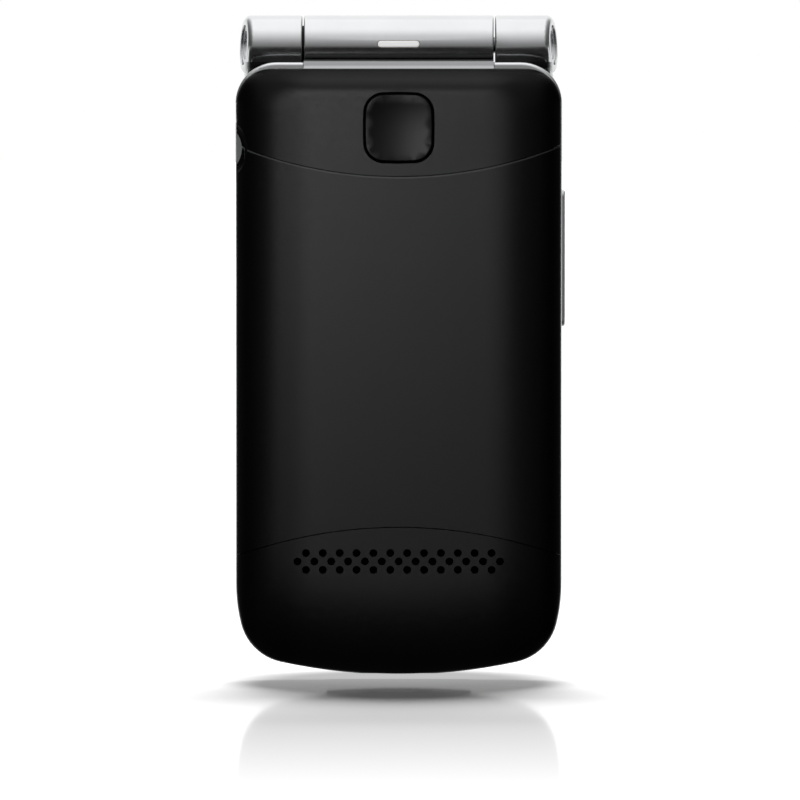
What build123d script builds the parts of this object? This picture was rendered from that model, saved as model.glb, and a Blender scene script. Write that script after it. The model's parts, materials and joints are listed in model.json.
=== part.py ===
from build123d import *

# Flip phone with a hinged lid, in millimetres.
# It stands upright and closed: +Z is up, the rear with the battery cover faces -Y and the
# lid faces +Y. The origin is under the middle of the phone, at the level of its flat foot.

import os
from math import atan2, cos, degrees, hypot, radians, sin, sqrt

os.makedirs("parts", exist_ok=True)

# ---------------------------------------------------------------- driving dimensions
phone_width = 49.6
phone_height = 100.0
base_depth = 12.0
lid_depth = 8.5
split_gap = 0.5  # between the closed halves
wall = 1.2  # outer walls
fit_gap = 0.15  # between pieces that drop into each other
run_gap = 0.06  # around turning pins and bushes

# Outline: a wide bottom arc, tight corners and long side arcs, all tangent
bottom_radius = 85.0
corner_radius = 8.0
side_radius = 25.0
side_start = 14.0  # height at which the straight sides begin
foot_depth = 0.2  # how much of the bottom arc the flat foot trims off

# Rolled-over edges of the two outer shells
side_roll = 9.0
bottom_roll = 15.0
top_roll = 4.0
roll_power = 2.6
roll_steps = 10
shell_edge = 1.0  # straight edge of a shell before it rolls over

# Frame and hinge
frame_depth = 6.0
shell_inset = 0.15  # shells stand this far inside the silver frame
frame_top_drop = 2.55  # hinge axis down to the frame's top edge
shoulder_drop = 2.1  # hinge axis down to the shoulder under the barrel
shoulder_round = 1.8
shell_top_drop = 3.5  # hinge axis down to the rear shell's top edge
barrel_shelf = 1.15  # frame left between the barrel's room and the inside
frame_corner = 6.2
shell_corner = 5.3
barrel_radius = 4.5
barrel_bore = 3.0
barrel_length = 28.86
barrel_gap = 0.25
barrel_round = 0.25
knuckle_inset = 1.2  # middle of a knuckle's end face inside the phone's side
knuckle_tilt = 10.0  # end faces turn towards the rear
knuckle_lean = 3.0  # and slightly upwards
knuckle_round = 0.9
end_cap_radius = 2.9
end_cap_sink = 0.25

# Rear: seams, notch, assistance button, loudspeaker grille
seam_gap = 0.14
upper_seam_drop = 19.8  # hinge axis down to the upper seam in the middle
upper_seam_radius = 66.4
lower_seam = 22.5  # height of the lower seam in the middle
lower_seam_radius = 70.9
notch_drop = 15.65
notch_radius = 5.0
notch_depth = 1.8
assist_drop = 12.4
assist_size = 10.9
assist_corner = 3.1
assist_bow = 0.25
assist_gap = 0.35
assist_travel = 0.4
grille_height = 17.3
grille_pitch = 2.56
grille_rows = (12, 13, 12)
grille_hole = 0.6

# Battery bay
bay_side = 7.2  # phone's side to the bay's side
bay_low = 25.8
bay_top_drop = 22.9
battery_gap = 0.3
contact_room = 2.4
battery_rear_gap = 0.35  # battery to the cover's skin
sim_width = 15.0
sim_length = 25.0
sim_thickness = 0.76
sim_top_gap = 6.6  # bay's top down to the card's top

# Layers of the base, counted back from its front face
plate_thickness = 1.2
key_proud = 0.3
key_travel = 0.35
key_flange = 0.3
key_flange_width = 0.4
rocker_flange_length = 10.0  # short, so that the nav rocker can tilt
nav_recess = 0.25
key_gap = 0.25
key_web = 1.6
board_thickness = 0.8
floor_thickness = 0.6

# Keypad field
keypad_low = 9.6
keypad_side = 3.9  # phone's side to the outer keys
cluster_low_drop = 37.6  # frame's inner top down to the number keys
cluster_height = 28.2
microphone_height = 5.6
microphone_radius = 2.0
port_radius = 0.5

# Side controls and sockets
rocker_drop = 32.35
rocker_length = 20.8
rocker_width = 2.4
rocker_proud = 0.5
jack_drop = 4.4  # frame's inner top down to the headset socket's axis
jack_radius = 1.8
jack_length = 14.0
jack_width = 4.8
usb_drop = 35.5
usb_width = 7.5
usb_thickness = 2.9
usb_length = 5.6
screw_side = 3.9  # phone's side to the screws
screw_low = 26.0
screw_drop = 19.3
screw_radius = 0.7
screw_head = 1.4

# Lid
lid_inset = 0.3  # lid outline inside the base outline
lid_top_gap = 0.4  # barrel's underside down to the lid's top edge
lid_corner = 5.0
lid_band = 2.5  # depth of the silver band round the lid
lid_bar_height = 4.6  # bar that carries the barrel
lip_width = 22.0
lip_radius = 140.0
lip_depth = 3.1
lip_root = 2.5  # height to which the lip runs up into the lid
lens_side = 4.0  # lid's side to the main window
lens_length = 58.0
lid_boss_gap = 1.45  # lid's lower screw bosses clear of the band
lens_rise = 5.5  # lid's lower screws up to the main window's lower edge
lens_thickness = 0.8
view_border = 1.75  # dark border beside the view
view_length = 50.0
outer_lens_width = 27.0
outer_lens_length = 23.0
outer_lens_drop = 35.5
outer_lens_corner = 3.5

# ---------------------------------------------------------------- derived places
half_width = phone_width / 2
phone_depth = base_depth + split_gap + lid_depth
rear_y = -phone_depth / 2
base_front_y = rear_y + base_depth
lid_back_y = base_front_y + split_gap
lid_front_y = phone_depth / 2
hinge_y = (base_front_y + lid_back_y) / 2
hinge_z = phone_height - barrel_radius

upper_seam = hinge_z - upper_seam_drop
notch_height = hinge_z - notch_drop
assist_height = hinge_z - assist_drop
rocker_height = hinge_z - rocker_drop
usb_height = hinge_z - usb_drop
outer_lens_height = hinge_z - outer_lens_drop
bay_high = hinge_z - bay_top_drop
bay_half_width = half_width - bay_side
keypad_half_width = half_width - keypad_side
screw_x = half_width - screw_side
screw_high = hinge_z - screw_drop
sim_low = bay_high - sim_top_gap - sim_length
knuckle_reach = half_width - knuckle_inset

frame_rear_y = base_front_y - frame_depth
frame_top = hinge_z - frame_top_drop
frame_inner_top = hinge_z - barrel_radius - barrel_gap - barrel_shelf
jack_height = frame_inner_top - jack_drop
inner_half_width = half_width - wall - fit_gap
inner_low = wall + fit_gap - foot_depth

skin_y = rear_y + wall  # inner face of the rear skin
plate_rear_y = base_front_y - plate_thickness
key_front_y = base_front_y + key_proud
key_rear_y = plate_rear_y - 0.15 - key_flange
membrane_front_y = key_rear_y - key_travel - 0.05
membrane_rear_y = membrane_front_y - 0.4
dome_front_y = membrane_rear_y - 0.05
board_front_y = dome_front_y - 0.4
board_rear_y = board_front_y - board_thickness
floor_front_y = board_rear_y - 0.8
floor_rear_y = floor_front_y - floor_thickness

barrel_half = barrel_length / 2
knuckle_start = barrel_half + barrel_gap


def across(y):
    """The plane across the phone's thickness at y. It looks from the rear, +X to the right."""
    return Plane.XZ.offset(-y)


def along(x):
    """The plane along the phone's side at x, with +Y to the right and +Z up."""
    return Plane.YZ.offset(x)


def circle_crossing(centre_a, radius_a, centre_b, radius_b):
    """The outer of the two points that lie radius_a and radius_b from two centres."""
    step_x, step_z = centre_b[0] - centre_a[0], centre_b[1] - centre_a[1]
    apart = hypot(step_x, step_z)
    ahead = (radius_a**2 - radius_b**2 + apart**2) / (2 * apart)
    aside = sqrt(radius_a**2 - ahead**2)
    step_x, step_z = step_x / apart, step_z / apart
    return (
        centre_a[0] + ahead * step_x + aside * abs(step_z),
        centre_a[1] + ahead * step_z - aside * step_x * (1 if step_z > 0 else -1),
    )


def corner_centre(half, low, scale=1.0):
    """Centre of an outline's bottom corner arc. Its radii follow scale."""
    return circle_crossing(
        (half - side_radius * scale, low + side_start * scale),
        (side_radius - corner_radius) * scale,
        (0, low + bottom_radius * scale),
        (bottom_radius - corner_radius) * scale,
    )


def outline_underside(x, half, low):
    """Height of an outline's underside at x, on its bottom arc or past that on its corner arc."""
    corner_x, corner_z = corner_centre(half, low)
    if x < corner_x * bottom_radius / (bottom_radius - corner_radius):
        return low + bottom_radius - sqrt(bottom_radius**2 - x**2)
    return corner_z - sqrt(corner_radius**2 - (x - corner_x) ** 2)


def body_outline(half, low, high, top_corner, scale=1.0, mode=Mode.ADD):
    """Draws the phone's outline in the active sketch. Its radii follow scale."""
    side_r = side_radius * scale
    bottom_r = bottom_radius * scale
    corner_r = corner_radius * scale
    side_z = low + side_start * scale
    side_x = half - side_r
    bottom_z = low + bottom_r
    corner_x, corner_z = corner_centre(half, low, scale)
    side_turn = degrees(atan2(side_z - corner_z, corner_x - side_x))
    bottom_turn = degrees(atan2(corner_x, bottom_z - corner_z))
    corner_turn = 90 - bottom_turn - side_turn
    top_x, top_z = half - top_corner, high - top_corner
    with BuildLine() as outline:
        CenterArc((0, bottom_z), bottom_r, 270 - bottom_turn, 2 * bottom_turn)
        CenterArc((corner_x, corner_z), corner_r, 270 + bottom_turn, corner_turn)
        CenterArc((side_x, side_z), side_r, -side_turn, side_turn)
        Line((half, side_z), (half, top_z))
        CenterArc((top_x, top_z), top_corner, 0, 90)
        Line((top_x, high), (-top_x, high))
        CenterArc((-top_x, top_z), top_corner, 90, 90)
        Line((-half, top_z), (-half, side_z))
        CenterArc((-side_x, side_z), side_r, 180, side_turn)
        CenterArc((-corner_x, corner_z), corner_r, 180 + side_turn, corner_turn)
    make_face(outline.edges(), mode=mode)


def rolled_solid(rim_y, edge_y, face_y, half, low, high, top_corner):
    """A shell's full shape: the outline from rim to edge, then rolled over to its face."""
    with BuildPart() as solid:
        for step in range(roll_steps + 1):
            # sections lie closer together at the edge and where the flat face begins
            share = (step / roll_steps) ** 2 * (3 - 2 * step / roll_steps)
            depth = sqrt(1 - (1 - share) ** roll_power)
            scale = 1 - share * side_roll / half
            with BuildSketch(across(edge_y + (face_y - edge_y) * depth)):
                body_outline(
                    half - side_roll * share,
                    low + bottom_roll * share,
                    high - top_roll * share,
                    top_corner * scale,
                    scale,
                )
        loft()
        with BuildSketch(across(rim_y)):
            body_outline(half, low, high, top_corner)
        extrude(amount=rim_y - edge_y)
    return solid.part


def cover_region(shrink, mode=Mode.ADD):
    """Draws what lies between the two rear seams, each moved inwards by shrink."""
    reach = half_width + 2
    upper_mid, lower_mid = upper_seam - shrink, lower_seam + shrink
    upper_end = upper_mid + upper_seam_radius - sqrt(upper_seam_radius**2 - reach**2)
    lower_end = lower_mid - lower_seam_radius + sqrt(lower_seam_radius**2 - reach**2)
    with BuildLine() as outline:
        ThreePointArc((-reach, upper_end), (0, upper_mid), (reach, upper_end))
        Line((reach, upper_end), (reach, lower_end))
        ThreePointArc((reach, lower_end), (0, lower_mid), (-reach, lower_end))
        Line((-reach, lower_end), (-reach, upper_end))
    make_face(outline.edges(), mode=mode)


def bowed_square(size, corner, bow, height, mode=Mode.ADD):
    """Draws a rounded square whose sides bow outwards, centred at a height."""
    reach, point = size / 2, size / 2 - bow
    with BuildSketch() as shape:
        with BuildLine():
            ThreePointArc((-point, point), (0, reach), (point, point))
            ThreePointArc((point, point), (reach, 0), (point, -point))
            ThreePointArc((point, -point), (0, -reach), (-point, -point))
            ThreePointArc((-point, -point), (-reach, 0), (-point, point))
        make_face()
        fillet(shape.vertices(), corner)
    add(shape.sketch.moved(Location((0, height))), mode=mode)


def slab(rear, front, x, z, width, height, corner=0.0, mode=Mode.ADD):
    """A flat block between two depths, centred at x and z."""
    with BuildSketch(across(front)) as face:
        with Locations((x, z)):
            if corner > 0:
                RectangleRounded(width, height, corner)
            else:
                Rectangle(width, height)
    extrude(face.sketch, amount=front - rear, mode=mode)


def post(rear, front, x, z, radius, mode=Mode.ADD):
    """A round bar through the phone's thickness."""
    with BuildSketch(across(front)) as face:
        with Locations((x, z)):
            Circle(radius)
    extrude(face.sketch, amount=front - rear, mode=mode)


def rod(left, right, y, z, radius, mode=Mode.ADD):
    """A round bar along the phone's width."""
    with BuildSketch(along(left)) as face:
        with Locations((y, z)):
            Circle(radius)
    extrude(face.sketch, amount=right - left, mode=mode)


def outline_slab(rear, front, half, low, high, corner, mode=Mode.ADD):
    """A plate of the phone's own outline between two depths."""
    with BuildSketch(across(front)) as face:
        body_outline(half, low, high, corner)
    extrude(face.sketch, amount=front - rear, mode=mode)


def finish_piece(piece, name):
    """Labels a piece and writes its file."""
    piece.label = name
    export_step(piece, f"parts/{name}.step")


# ---------------------------------------------------------------- rear shells
shell_half = half_width - shell_inset
shell_top = hinge_z - shell_top_drop
roll_y = frame_rear_y - shell_edge
rear_shape = rolled_solid(
    frame_rear_y, roll_y, rear_y, shell_half, 0.0, shell_top, shell_corner
)
rear_hollow = rolled_solid(
    frame_rear_y + wall,
    roll_y,
    skin_y,
    shell_half - wall,
    wall,
    shell_top - wall,
    shell_corner - wall,
)
notch_x = notch_radius - notch_depth + shell_half
notch_y = (frame_rear_y + rear_y) / 2

with BuildPart() as battery_cover:
    add(rear_shape)
    add(rear_hollow, mode=Mode.SUBTRACT)
    with BuildSketch(across(frame_rear_y)):
        cover_region(seam_gap / 2)
    extrude(amount=frame_rear_y - rear_y + 1, mode=Mode.INTERSECT)
    with Locations((-notch_x, notch_y, notch_height)):
        Sphere(notch_radius, mode=Mode.SUBTRACT)
finish_piece(battery_cover.part, "battery_cover")

# The tongue stands inside the frame and carries the floor, the bay walls and the bosses.
tongue_gap = 2 * fit_gap
tongue_half = half_width - wall - tongue_gap
tongue_low = wall + tongue_gap - foot_depth
tongue_top = frame_inner_top - tongue_gap
tongue_corner = frame_corner - wall - tongue_gap
tongue_wall = 1.1
bay_rim_y = skin_y + 0.5
bay_wall_half = bay_half_width + wall
boss_rear_y = roll_y - 1.0
boss_radius = 2.0
screw_places = [(x, z) for z in (screw_low, screw_high) for x in (-screw_x, screw_x)]
bay_middle = (bay_low + bay_high) / 2
bay_length = bay_high - bay_low

jack_y = board_rear_y
jack_inner_x = half_width - 0.2 - jack_length
jack_body_x = half_width - wall - 1.2
usb_y = board_rear_y - 0.4
usb_inner_x = half_width - 0.2 - usb_length
contact_x = (-10.0, -6.5, -3.0)
contact_size = 1.6

with BuildPart() as rear_housing:
    add(rear_shape)
    add(rear_hollow, mode=Mode.SUBTRACT)
    with BuildSketch(across(frame_rear_y + wall + 1)):
        cover_region(-seam_gap / 2)
    extrude(amount=frame_rear_y + wall + 2 - rear_y, mode=Mode.SUBTRACT)
    with BuildSketch(across(frame_rear_y)):
        body_outline(shell_half - wall + 0.2, wall - 0.2, shell_top - wall + 0.2, tongue_corner)
        body_outline(
            tongue_half - tongue_wall,
            tongue_low + tongue_wall,
            tongue_top - tongue_wall,
            tongue_corner - tongue_wall,
            mode=Mode.SUBTRACT,
        )
        cover_region(-seam_gap / 2, mode=Mode.SUBTRACT)
    extrude(amount=shell_edge + 0.1)
    with BuildSketch(across(floor_front_y)):
        body_outline(tongue_half, tongue_low, tongue_top, tongue_corner)
        body_outline(
            tongue_half - tongue_wall,
            tongue_low + tongue_wall,
            tongue_top - tongue_wall,
            tongue_corner - tongue_wall,
            mode=Mode.SUBTRACT,
        )
    extrude(amount=floor_front_y - roll_y + 0.1)
    outline_slab(
        floor_rear_y,
        floor_front_y,
        tongue_half - tongue_wall / 2,
        tongue_low + tongue_wall / 2,
        tongue_top - tongue_wall / 2,
        tongue_corner - tongue_wall / 2,
    )
    slab(
        bay_rim_y,
        floor_rear_y,
        0,
        bay_middle,
        2 * bay_wall_half,
        bay_length + 2 * wall,
        2.0,
    )
    slab(
        bay_rim_y - 1,
        floor_rear_y,
        0,
        bay_middle,
        2 * bay_half_width,
        bay_length,
        0.8,
        Mode.SUBTRACT,
    )
    for x, z in screw_places:
        post(boss_rear_y, floor_front_y, x, z, boss_radius)
        post(boss_rear_y, boss_rear_y + 0.8, x, z, screw_head + 0.1, Mode.SUBTRACT)
        post(boss_rear_y, floor_front_y, x, z, screw_radius + 0.1, Mode.SUBTRACT)
    # openings for the sockets, the battery contacts, the button and the loudspeaker
    jack_room = half_width - jack_inner_x + 1.0
    slab(
        jack_y - jack_width / 2 - 0.3,
        floor_front_y + 1,
        -half_width + jack_room / 2,
        jack_height,
        jack_room,
        jack_width + 0.6,
        mode=Mode.SUBTRACT,
    )
    usb_room = half_width - usb_inner_x + 0.1
    slab(
        usb_y - usb_thickness / 2 - 0.25,
        floor_front_y + 1,
        -half_width + usb_room / 2,
        usb_height,
        usb_room,
        usb_width + 0.6,
        mode=Mode.SUBTRACT,
    )
    slab(
        floor_rear_y - 1,
        floor_front_y + 1,
        sum(contact_x) / len(contact_x),
        bay_high - contact_room / 2,
        contact_x[-1] - contact_x[0] + contact_size + 0.6,
        contact_room - 0.2,
        mode=Mode.SUBTRACT,
    )
    with BuildSketch(across(skin_y + 1)):
        bowed_square(assist_size, assist_corner, assist_bow, assist_height)
        for row, count in enumerate(grille_rows):
            row_height = grille_height + (1 - row) * grille_pitch / 2
            with Locations((0, row_height)):
                with GridLocations(grille_pitch, grille_pitch, count, 1):
                    Circle(grille_hole)
    extrude(amount=wall + 2, mode=Mode.SUBTRACT)
    with Locations((-notch_x, notch_y, notch_height)):
        Sphere(notch_radius, mode=Mode.SUBTRACT)
finish_piece(rear_housing.part, "rear_housing")

# ---------------------------------------------------------------- silver mid frame
end_normal = (
    cos(radians(knuckle_tilt)) * cos(radians(knuckle_lean)),
    -sin(radians(knuckle_tilt)),
    sin(radians(knuckle_lean)),
)
end_plane = Plane(origin=(knuckle_reach, hinge_y, hinge_z), z_dir=end_normal)
neck_low = frame_inner_top - 2.0
neck_rear_y = hinge_y - barrel_radius + 1.6  # behind the knuckle's underside
neck_sink = 0.3
bore_end = knuckle_reach - 2.2
cap_pocket = 1.0
frame_round = 0.5
lug_rear_y = floor_front_y + 0.05
lug_front_y = key_rear_y - key_travel - 0.25
lug_inner = screw_x - boss_radius + 0.2
lug_outer = half_width - wall / 2
lug_width = lug_outer - lug_inner
lug_height = 2 * boss_radius - 0.4
lug_shift = (lug_inner + lug_outer) / 2 - screw_x

with BuildPart() as knuckle:
    rod(knuckle_start, half_width + 2, hinge_y, hinge_z, barrel_radius)
    split(bisect_by=end_plane, keep=Keep.BOTTOM)
    fillet(knuckle.edges().sort_by(Axis.X)[-1], knuckle_round)
    fillet(knuckle.edges().sort_by(Axis.X)[0], barrel_round)

with BuildPart() as neck:
    with BuildSketch(along(knuckle_start)):
        with Locations(((neck_rear_y + base_front_y) / 2, (neck_low + hinge_z) / 2)):
            Rectangle(base_front_y - neck_rear_y, hinge_z - neck_low)
    extrude(amount=half_width - knuckle_start + 2)
    split(bisect_by=end_plane.offset(-neck_sink), keep=Keep.BOTTOM)

with BuildPart() as mid_frame:
    outline_slab(frame_rear_y, base_front_y, half_width, -foot_depth, frame_top, frame_corner)
    fillet(mid_frame.faces().sort_by(Axis.Y)[0].edges(), frame_round)
    fillet(mid_frame.faces().sort_by(Axis.Y)[-1].edges(), frame_round / 2)
    # under the barrel a rounder shoulder takes the place of the top edge
    shoulder_front = hinge_y - barrel_radius + 1
    shoulder_low = hinge_z - shoulder_drop - shoulder_round - 0.15
    with BuildSketch(along(-barrel_half)):
        with Locations((shoulder_front, shoulder_low)):
            Rectangle(
                shoulder_front - frame_rear_y + 1,
                frame_top - shoulder_low + 1,
                align=(Align.MAX, Align.MIN),
            )
    extrude(amount=barrel_length, mode=Mode.SUBTRACT)
    with BuildSketch(along(-barrel_half)) as shoulder:
        with BuildLine():
            Polyline(
                (frame_rear_y, shoulder_low),
                (frame_rear_y, hinge_z - shoulder_drop),
                (shoulder_front, hinge_z - shoulder_drop),
                (shoulder_front, shoulder_low),
                close=True,
            )
        make_face()
        fillet(shoulder.vertices().sort_by(Axis.Y)[-2:].sort_by(Axis.X)[0], shoulder_round)
    extrude(amount=barrel_length)
    for side in (knuckle.part, neck.part):
        add(side)
        add(mirror(side, about=Plane.YZ, mode=Mode.PRIVATE))
    outline_slab(
        frame_rear_y - 1,
        base_front_y + 0.7,
        half_width - wall,
        wall - foot_depth,
        frame_inner_top,
        frame_corner - wall,
        Mode.SUBTRACT,
    )
    barrel_room = barrel_radius + barrel_gap
    rod(-knuckle_start, knuckle_start, hinge_y, hinge_z, barrel_room, Mode.SUBTRACT)
    rod(-bore_end, bore_end, hinge_y, hinge_z, barrel_bore, Mode.SUBTRACT)
    with BuildSketch(end_plane) as pocket:
        Circle(end_cap_radius + fit_gap)
    extrude(pocket.sketch, amount=-cap_pocket, mode=Mode.SUBTRACT)
    far_pocket = mirror(pocket.sketch, about=Plane.YZ, mode=Mode.PRIVATE)
    extrude(far_pocket, amount=-cap_pocket, mode=Mode.SUBTRACT)
    # lugs that the base screws go into
    for x, z in screw_places:
        side = 1 if x > 0 else -1
        slab(lug_rear_y, lug_front_y, x + side * lug_shift, z, lug_width, lug_height)
        post(lug_rear_y - 1, lug_front_y + 1, x, z, screw_radius + 0.05, Mode.SUBTRACT)
    # socket holes on the left, rocker slot on the right
    rod(-half_width - 1, -half_width + wall + 1, jack_y, jack_height, jack_width / 2 + 0.1, Mode.SUBTRACT)
    with BuildSketch(along(-half_width - 1)) as usb_hole:
        with Locations((usb_y, usb_height)):
            RectangleRounded(usb_thickness + 0.2, usb_width + 0.2, 0.9)
    extrude(usb_hole.sketch, amount=wall + 2, mode=Mode.SUBTRACT)
    with BuildSketch(along(half_width - wall - 1)) as rocker_hole:
        with Locations(((frame_rear_y + base_front_y) / 2, rocker_height)):
            RectangleRounded(rocker_width + 0.4, rocker_length + 0.5, 1.1)
    extrude(rocker_hole.sketch, amount=wall + 2, mode=Mode.SUBTRACT)
    # the flat foot
    with Locations((0, 0, -foot_depth)):
        Box(phone_width, 2 * phone_depth, 2 * foot_depth, mode=Mode.SUBTRACT)
finish_piece(mid_frame.part, "mid_frame")

with BuildPart() as hinge_end_caps:
    with BuildSketch(end_plane.offset(-end_cap_sink)):
        Circle(end_cap_radius)
    extrude(amount=end_cap_sink - cap_pocket + 0.1)
    with BuildSketch(end_plane.offset(-end_cap_sink)):
        Circle(end_cap_radius - 0.7)
    extrude(amount=-0.3, mode=Mode.SUBTRACT)
    mirror(about=Plane.YZ)
finish_piece(hinge_end_caps.part, "hinge_end_caps")

# ---------------------------------------------------------------- keys
keypad_high = frame_inner_top - cluster_low_drop
row_pitch = (keypad_high - keypad_low) / 4
column_pitch = (2 * keypad_half_width + key_web) / 3
key_width = column_pitch - key_web
key_height = row_pitch - key_web
key_corner = 2.2
key_round = 0.28
cluster_low = keypad_high + key_web
cluster_high = cluster_low + cluster_height
cluster_gap = 3.2
side_key_height = (cluster_height - cluster_gap) / 2

number_keys = (
    ("key_1", "key_2", "key_3"),
    ("key_4", "key_5", "key_6"),
    ("key_7", "key_8", "key_9"),
    ("key_star", "key_0", "key_hash"),
)
# name: x, z, width, height, corner. Whoever reads the keys faces -Y, so their left is +X.
key_places = {}
for row, names in enumerate(number_keys):
    for column, name in enumerate(names):
        key_places[name] = (
            (1 - column) * column_pitch,
            keypad_high - (row + 0.5) * row_pitch,
            key_width,
            key_height,
            key_corner,
        )
for name, x, z in (
    ("call_key", column_pitch, cluster_low + side_key_height / 2),
    ("end_key", -column_pitch, cluster_low + side_key_height / 2),
    ("soft_key_left", column_pitch, cluster_high - side_key_height / 2),
    ("soft_key_right", -column_pitch, cluster_high - side_key_height / 2),
):
    key_places[name] = (x, z, key_width, side_key_height, key_corner)
nav_height = (cluster_low + cluster_high) / 2
key_places["nav_rocker"] = (0.0, nav_height, key_width, cluster_height, key_width / 2 - 0.1)

for name, (x, z, width, height, corner) in key_places.items():
    with BuildPart() as key:
        slab(key_rear_y, key_front_y, x, z, width, height, corner)
        fillet(key.faces().sort_by(Axis.Y)[-1].edges(), key_round)
        flange_length, flange_corner = height + 2 * key_flange_width, corner
        if name == "nav_rocker":
            flange_length, flange_corner = rocker_flange_length, key_flange_width
        slab(
            key_rear_y,
            key_rear_y + key_flange,
            x,
            z,
            width + 2 * key_flange_width,
            flange_length,
            flange_corner,
        )
        if name == "nav_rocker":
            # a shallow round recess marks its middle
            post(key_front_y - nav_recess, key_front_y + 1, x, z, width / 4, Mode.SUBTRACT)
    finish_piece(key.part, name)

with BuildPart() as keypad_plate:
    outline_slab(
        plate_rear_y,
        base_front_y,
        inner_half_width,
        inner_low,
        frame_inner_top - fit_gap,
        frame_corner - wall - fit_gap,
    )
    for x, z, width, height, corner in key_places.values():
        slab(
            plate_rear_y - 1,
            base_front_y + 1,
            x,
            z,
            width + 2 * key_gap,
            height + 2 * key_gap,
            corner + key_gap,
            Mode.SUBTRACT,
        )
    post(plate_rear_y - 1, base_front_y + 1, 0, microphone_height, port_radius, Mode.SUBTRACT)
finish_piece(keypad_plate.part, "keypad_plate")

membrane_half = lug_inner - 0.5
membrane_middle = (keypad_low + cluster_high) / 2
membrane_length = cluster_high - keypad_low
with BuildPart() as keypad_membrane:
    slab(
        membrane_rear_y,
        membrane_front_y,
        0,
        membrane_middle,
        2 * membrane_half,
        membrane_length,
        3.0,
    )
finish_piece(keypad_membrane.part, "keypad_membrane")

dome_height = 0.2
with BuildPart() as dome_sheet:
    slab(
        board_front_y,
        dome_front_y - dome_height,
        0,
        membrane_middle,
        2 * membrane_half,
        membrane_length,
        3.0,
    )
    for name, (x, z, width, height, corner) in key_places.items():
        rise = height / 3 if name == "nav_rocker" else 0
        for dome_z in sorted({z - rise, z + rise}):
            post(dome_front_y - dome_height, dome_front_y, x, dome_z, 2.0)
finish_piece(dome_sheet.part, "dome_sheet")

# ---------------------------------------------------------------- inside the base
board_inset = 4.0
board_top = jack_height - jack_width / 2 - 1.0
with BuildPart() as main_board:
    outline_slab(
        board_rear_y,
        board_front_y,
        half_width - board_inset,
        board_inset - foot_depth,
        board_top,
        2.0,
    )
    for x, z in screw_places:
        side = 1 if x > 0 else -1
        slab(
            board_rear_y - 1,
            board_front_y + 1,
            x + side * lug_shift,
            z,
            lug_width + 0.6,
            lug_height + 0.6,
            mode=Mode.SUBTRACT,
        )
    slab(
        board_rear_y - 1,
        board_front_y + 1,
        -half_width + usb_room / 2,
        usb_height,
        usb_room + 0.3,
        usb_width + 0.6,
        mode=Mode.SUBTRACT,
    )
finish_piece(main_board.part, "main_board")

can_height, can_width, can_length, can_corner = 0.7, 27.0, 19.0, 0.8
can_x, can_heights = 2.0, (bay_middle - 10.75, bay_middle + 10.75)
with BuildPart() as shield_cans:
    for z in can_heights:
        slab(
            board_rear_y - can_height,
            board_rear_y,
            can_x,
            z,
            can_width,
            can_length,
            can_corner,
        )
finish_piece(shield_cans.part, "shield_cans")

battery_rear_y = skin_y + battery_rear_gap
sim_front_y = floor_rear_y - 0.05
sim_rear_y = sim_front_y - sim_thickness
rail_lip_y = sim_rear_y - 0.06
rail_rear_y = rail_lip_y - 0.18
battery_front_y = rail_rear_y - 0.15
battery_half = bay_half_width - battery_gap
battery_low = bay_low + battery_gap
battery_high = bay_high - contact_room - battery_gap
with BuildPart() as battery:
    slab(
        battery_rear_y,
        battery_front_y,
        0,
        (battery_low + battery_high) / 2,
        2 * battery_half,
        battery_high - battery_low,
        1.5,
    )
    fillet(battery.faces().sort_by(Axis.Y)[0].edges(), 0.5)
finish_piece(battery.part, "battery")

with BuildPart() as battery_contacts:
    for x in contact_x:
        slab(
            battery_rear_y + 1.0,
            board_rear_y,
            x,
            bay_high - contact_room / 2,
            contact_size,
            contact_room - 0.5,
        )
finish_piece(battery_contacts.part, "battery_contacts")

sim_middle = sim_low + sim_length / 2
sim_corner_cut = 3.0
with BuildPart() as sim_card:
    with BuildSketch(across(sim_front_y)) as card:
        with Locations((0, sim_middle)):
            Rectangle(sim_width, sim_length)
        chamfer(card.vertices().sort_by(Axis.Z)[-1], sim_corner_cut)
    extrude(amount=sim_thickness)
finish_piece(sim_card.part, "sim_card")

rail_width = 1.4
rail_lap = 0.8
with BuildPart() as sim_holder:
    for side in (-1, 1):
        rail_x = side * (sim_width / 2 + 0.1 + rail_width / 2)
        slab(rail_rear_y, floor_rear_y, rail_x, sim_middle, rail_width, sim_length - 2)
        lip_x = side * (sim_width / 2 + 0.1 + (rail_width - rail_lap) / 2 - 0.35)
        slab(rail_rear_y, rail_lip_y, lip_x, sim_middle, rail_width, sim_length - 2)
finish_piece(sim_holder.part, "sim_holder")

mesh_rear_y = skin_y + 0.25
mesh_thickness = 0.15
speaker_rear_y = mesh_rear_y + mesh_thickness + 0.1
speaker_depth = 3.4
speaker_width, speaker_height = 31.0, 6.6
with BuildPart() as speaker_mesh:
    slab(
        mesh_rear_y,
        mesh_rear_y + mesh_thickness,
        0,
        grille_height,
        speaker_width + 1,
        speaker_height,
        1.5,
    )
finish_piece(speaker_mesh.part, "speaker_mesh")

with BuildPart() as loudspeaker:
    slab(
        speaker_rear_y,
        speaker_rear_y + speaker_depth,
        0,
        grille_height,
        speaker_width,
        speaker_height,
        3.2,
    )
    slab(
        speaker_rear_y + speaker_depth,
        floor_rear_y,
        0,
        grille_height,
        speaker_width - 8,
        speaker_height - 2,
        2.0,
    )
finish_piece(loudspeaker.part, "loudspeaker")

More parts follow.
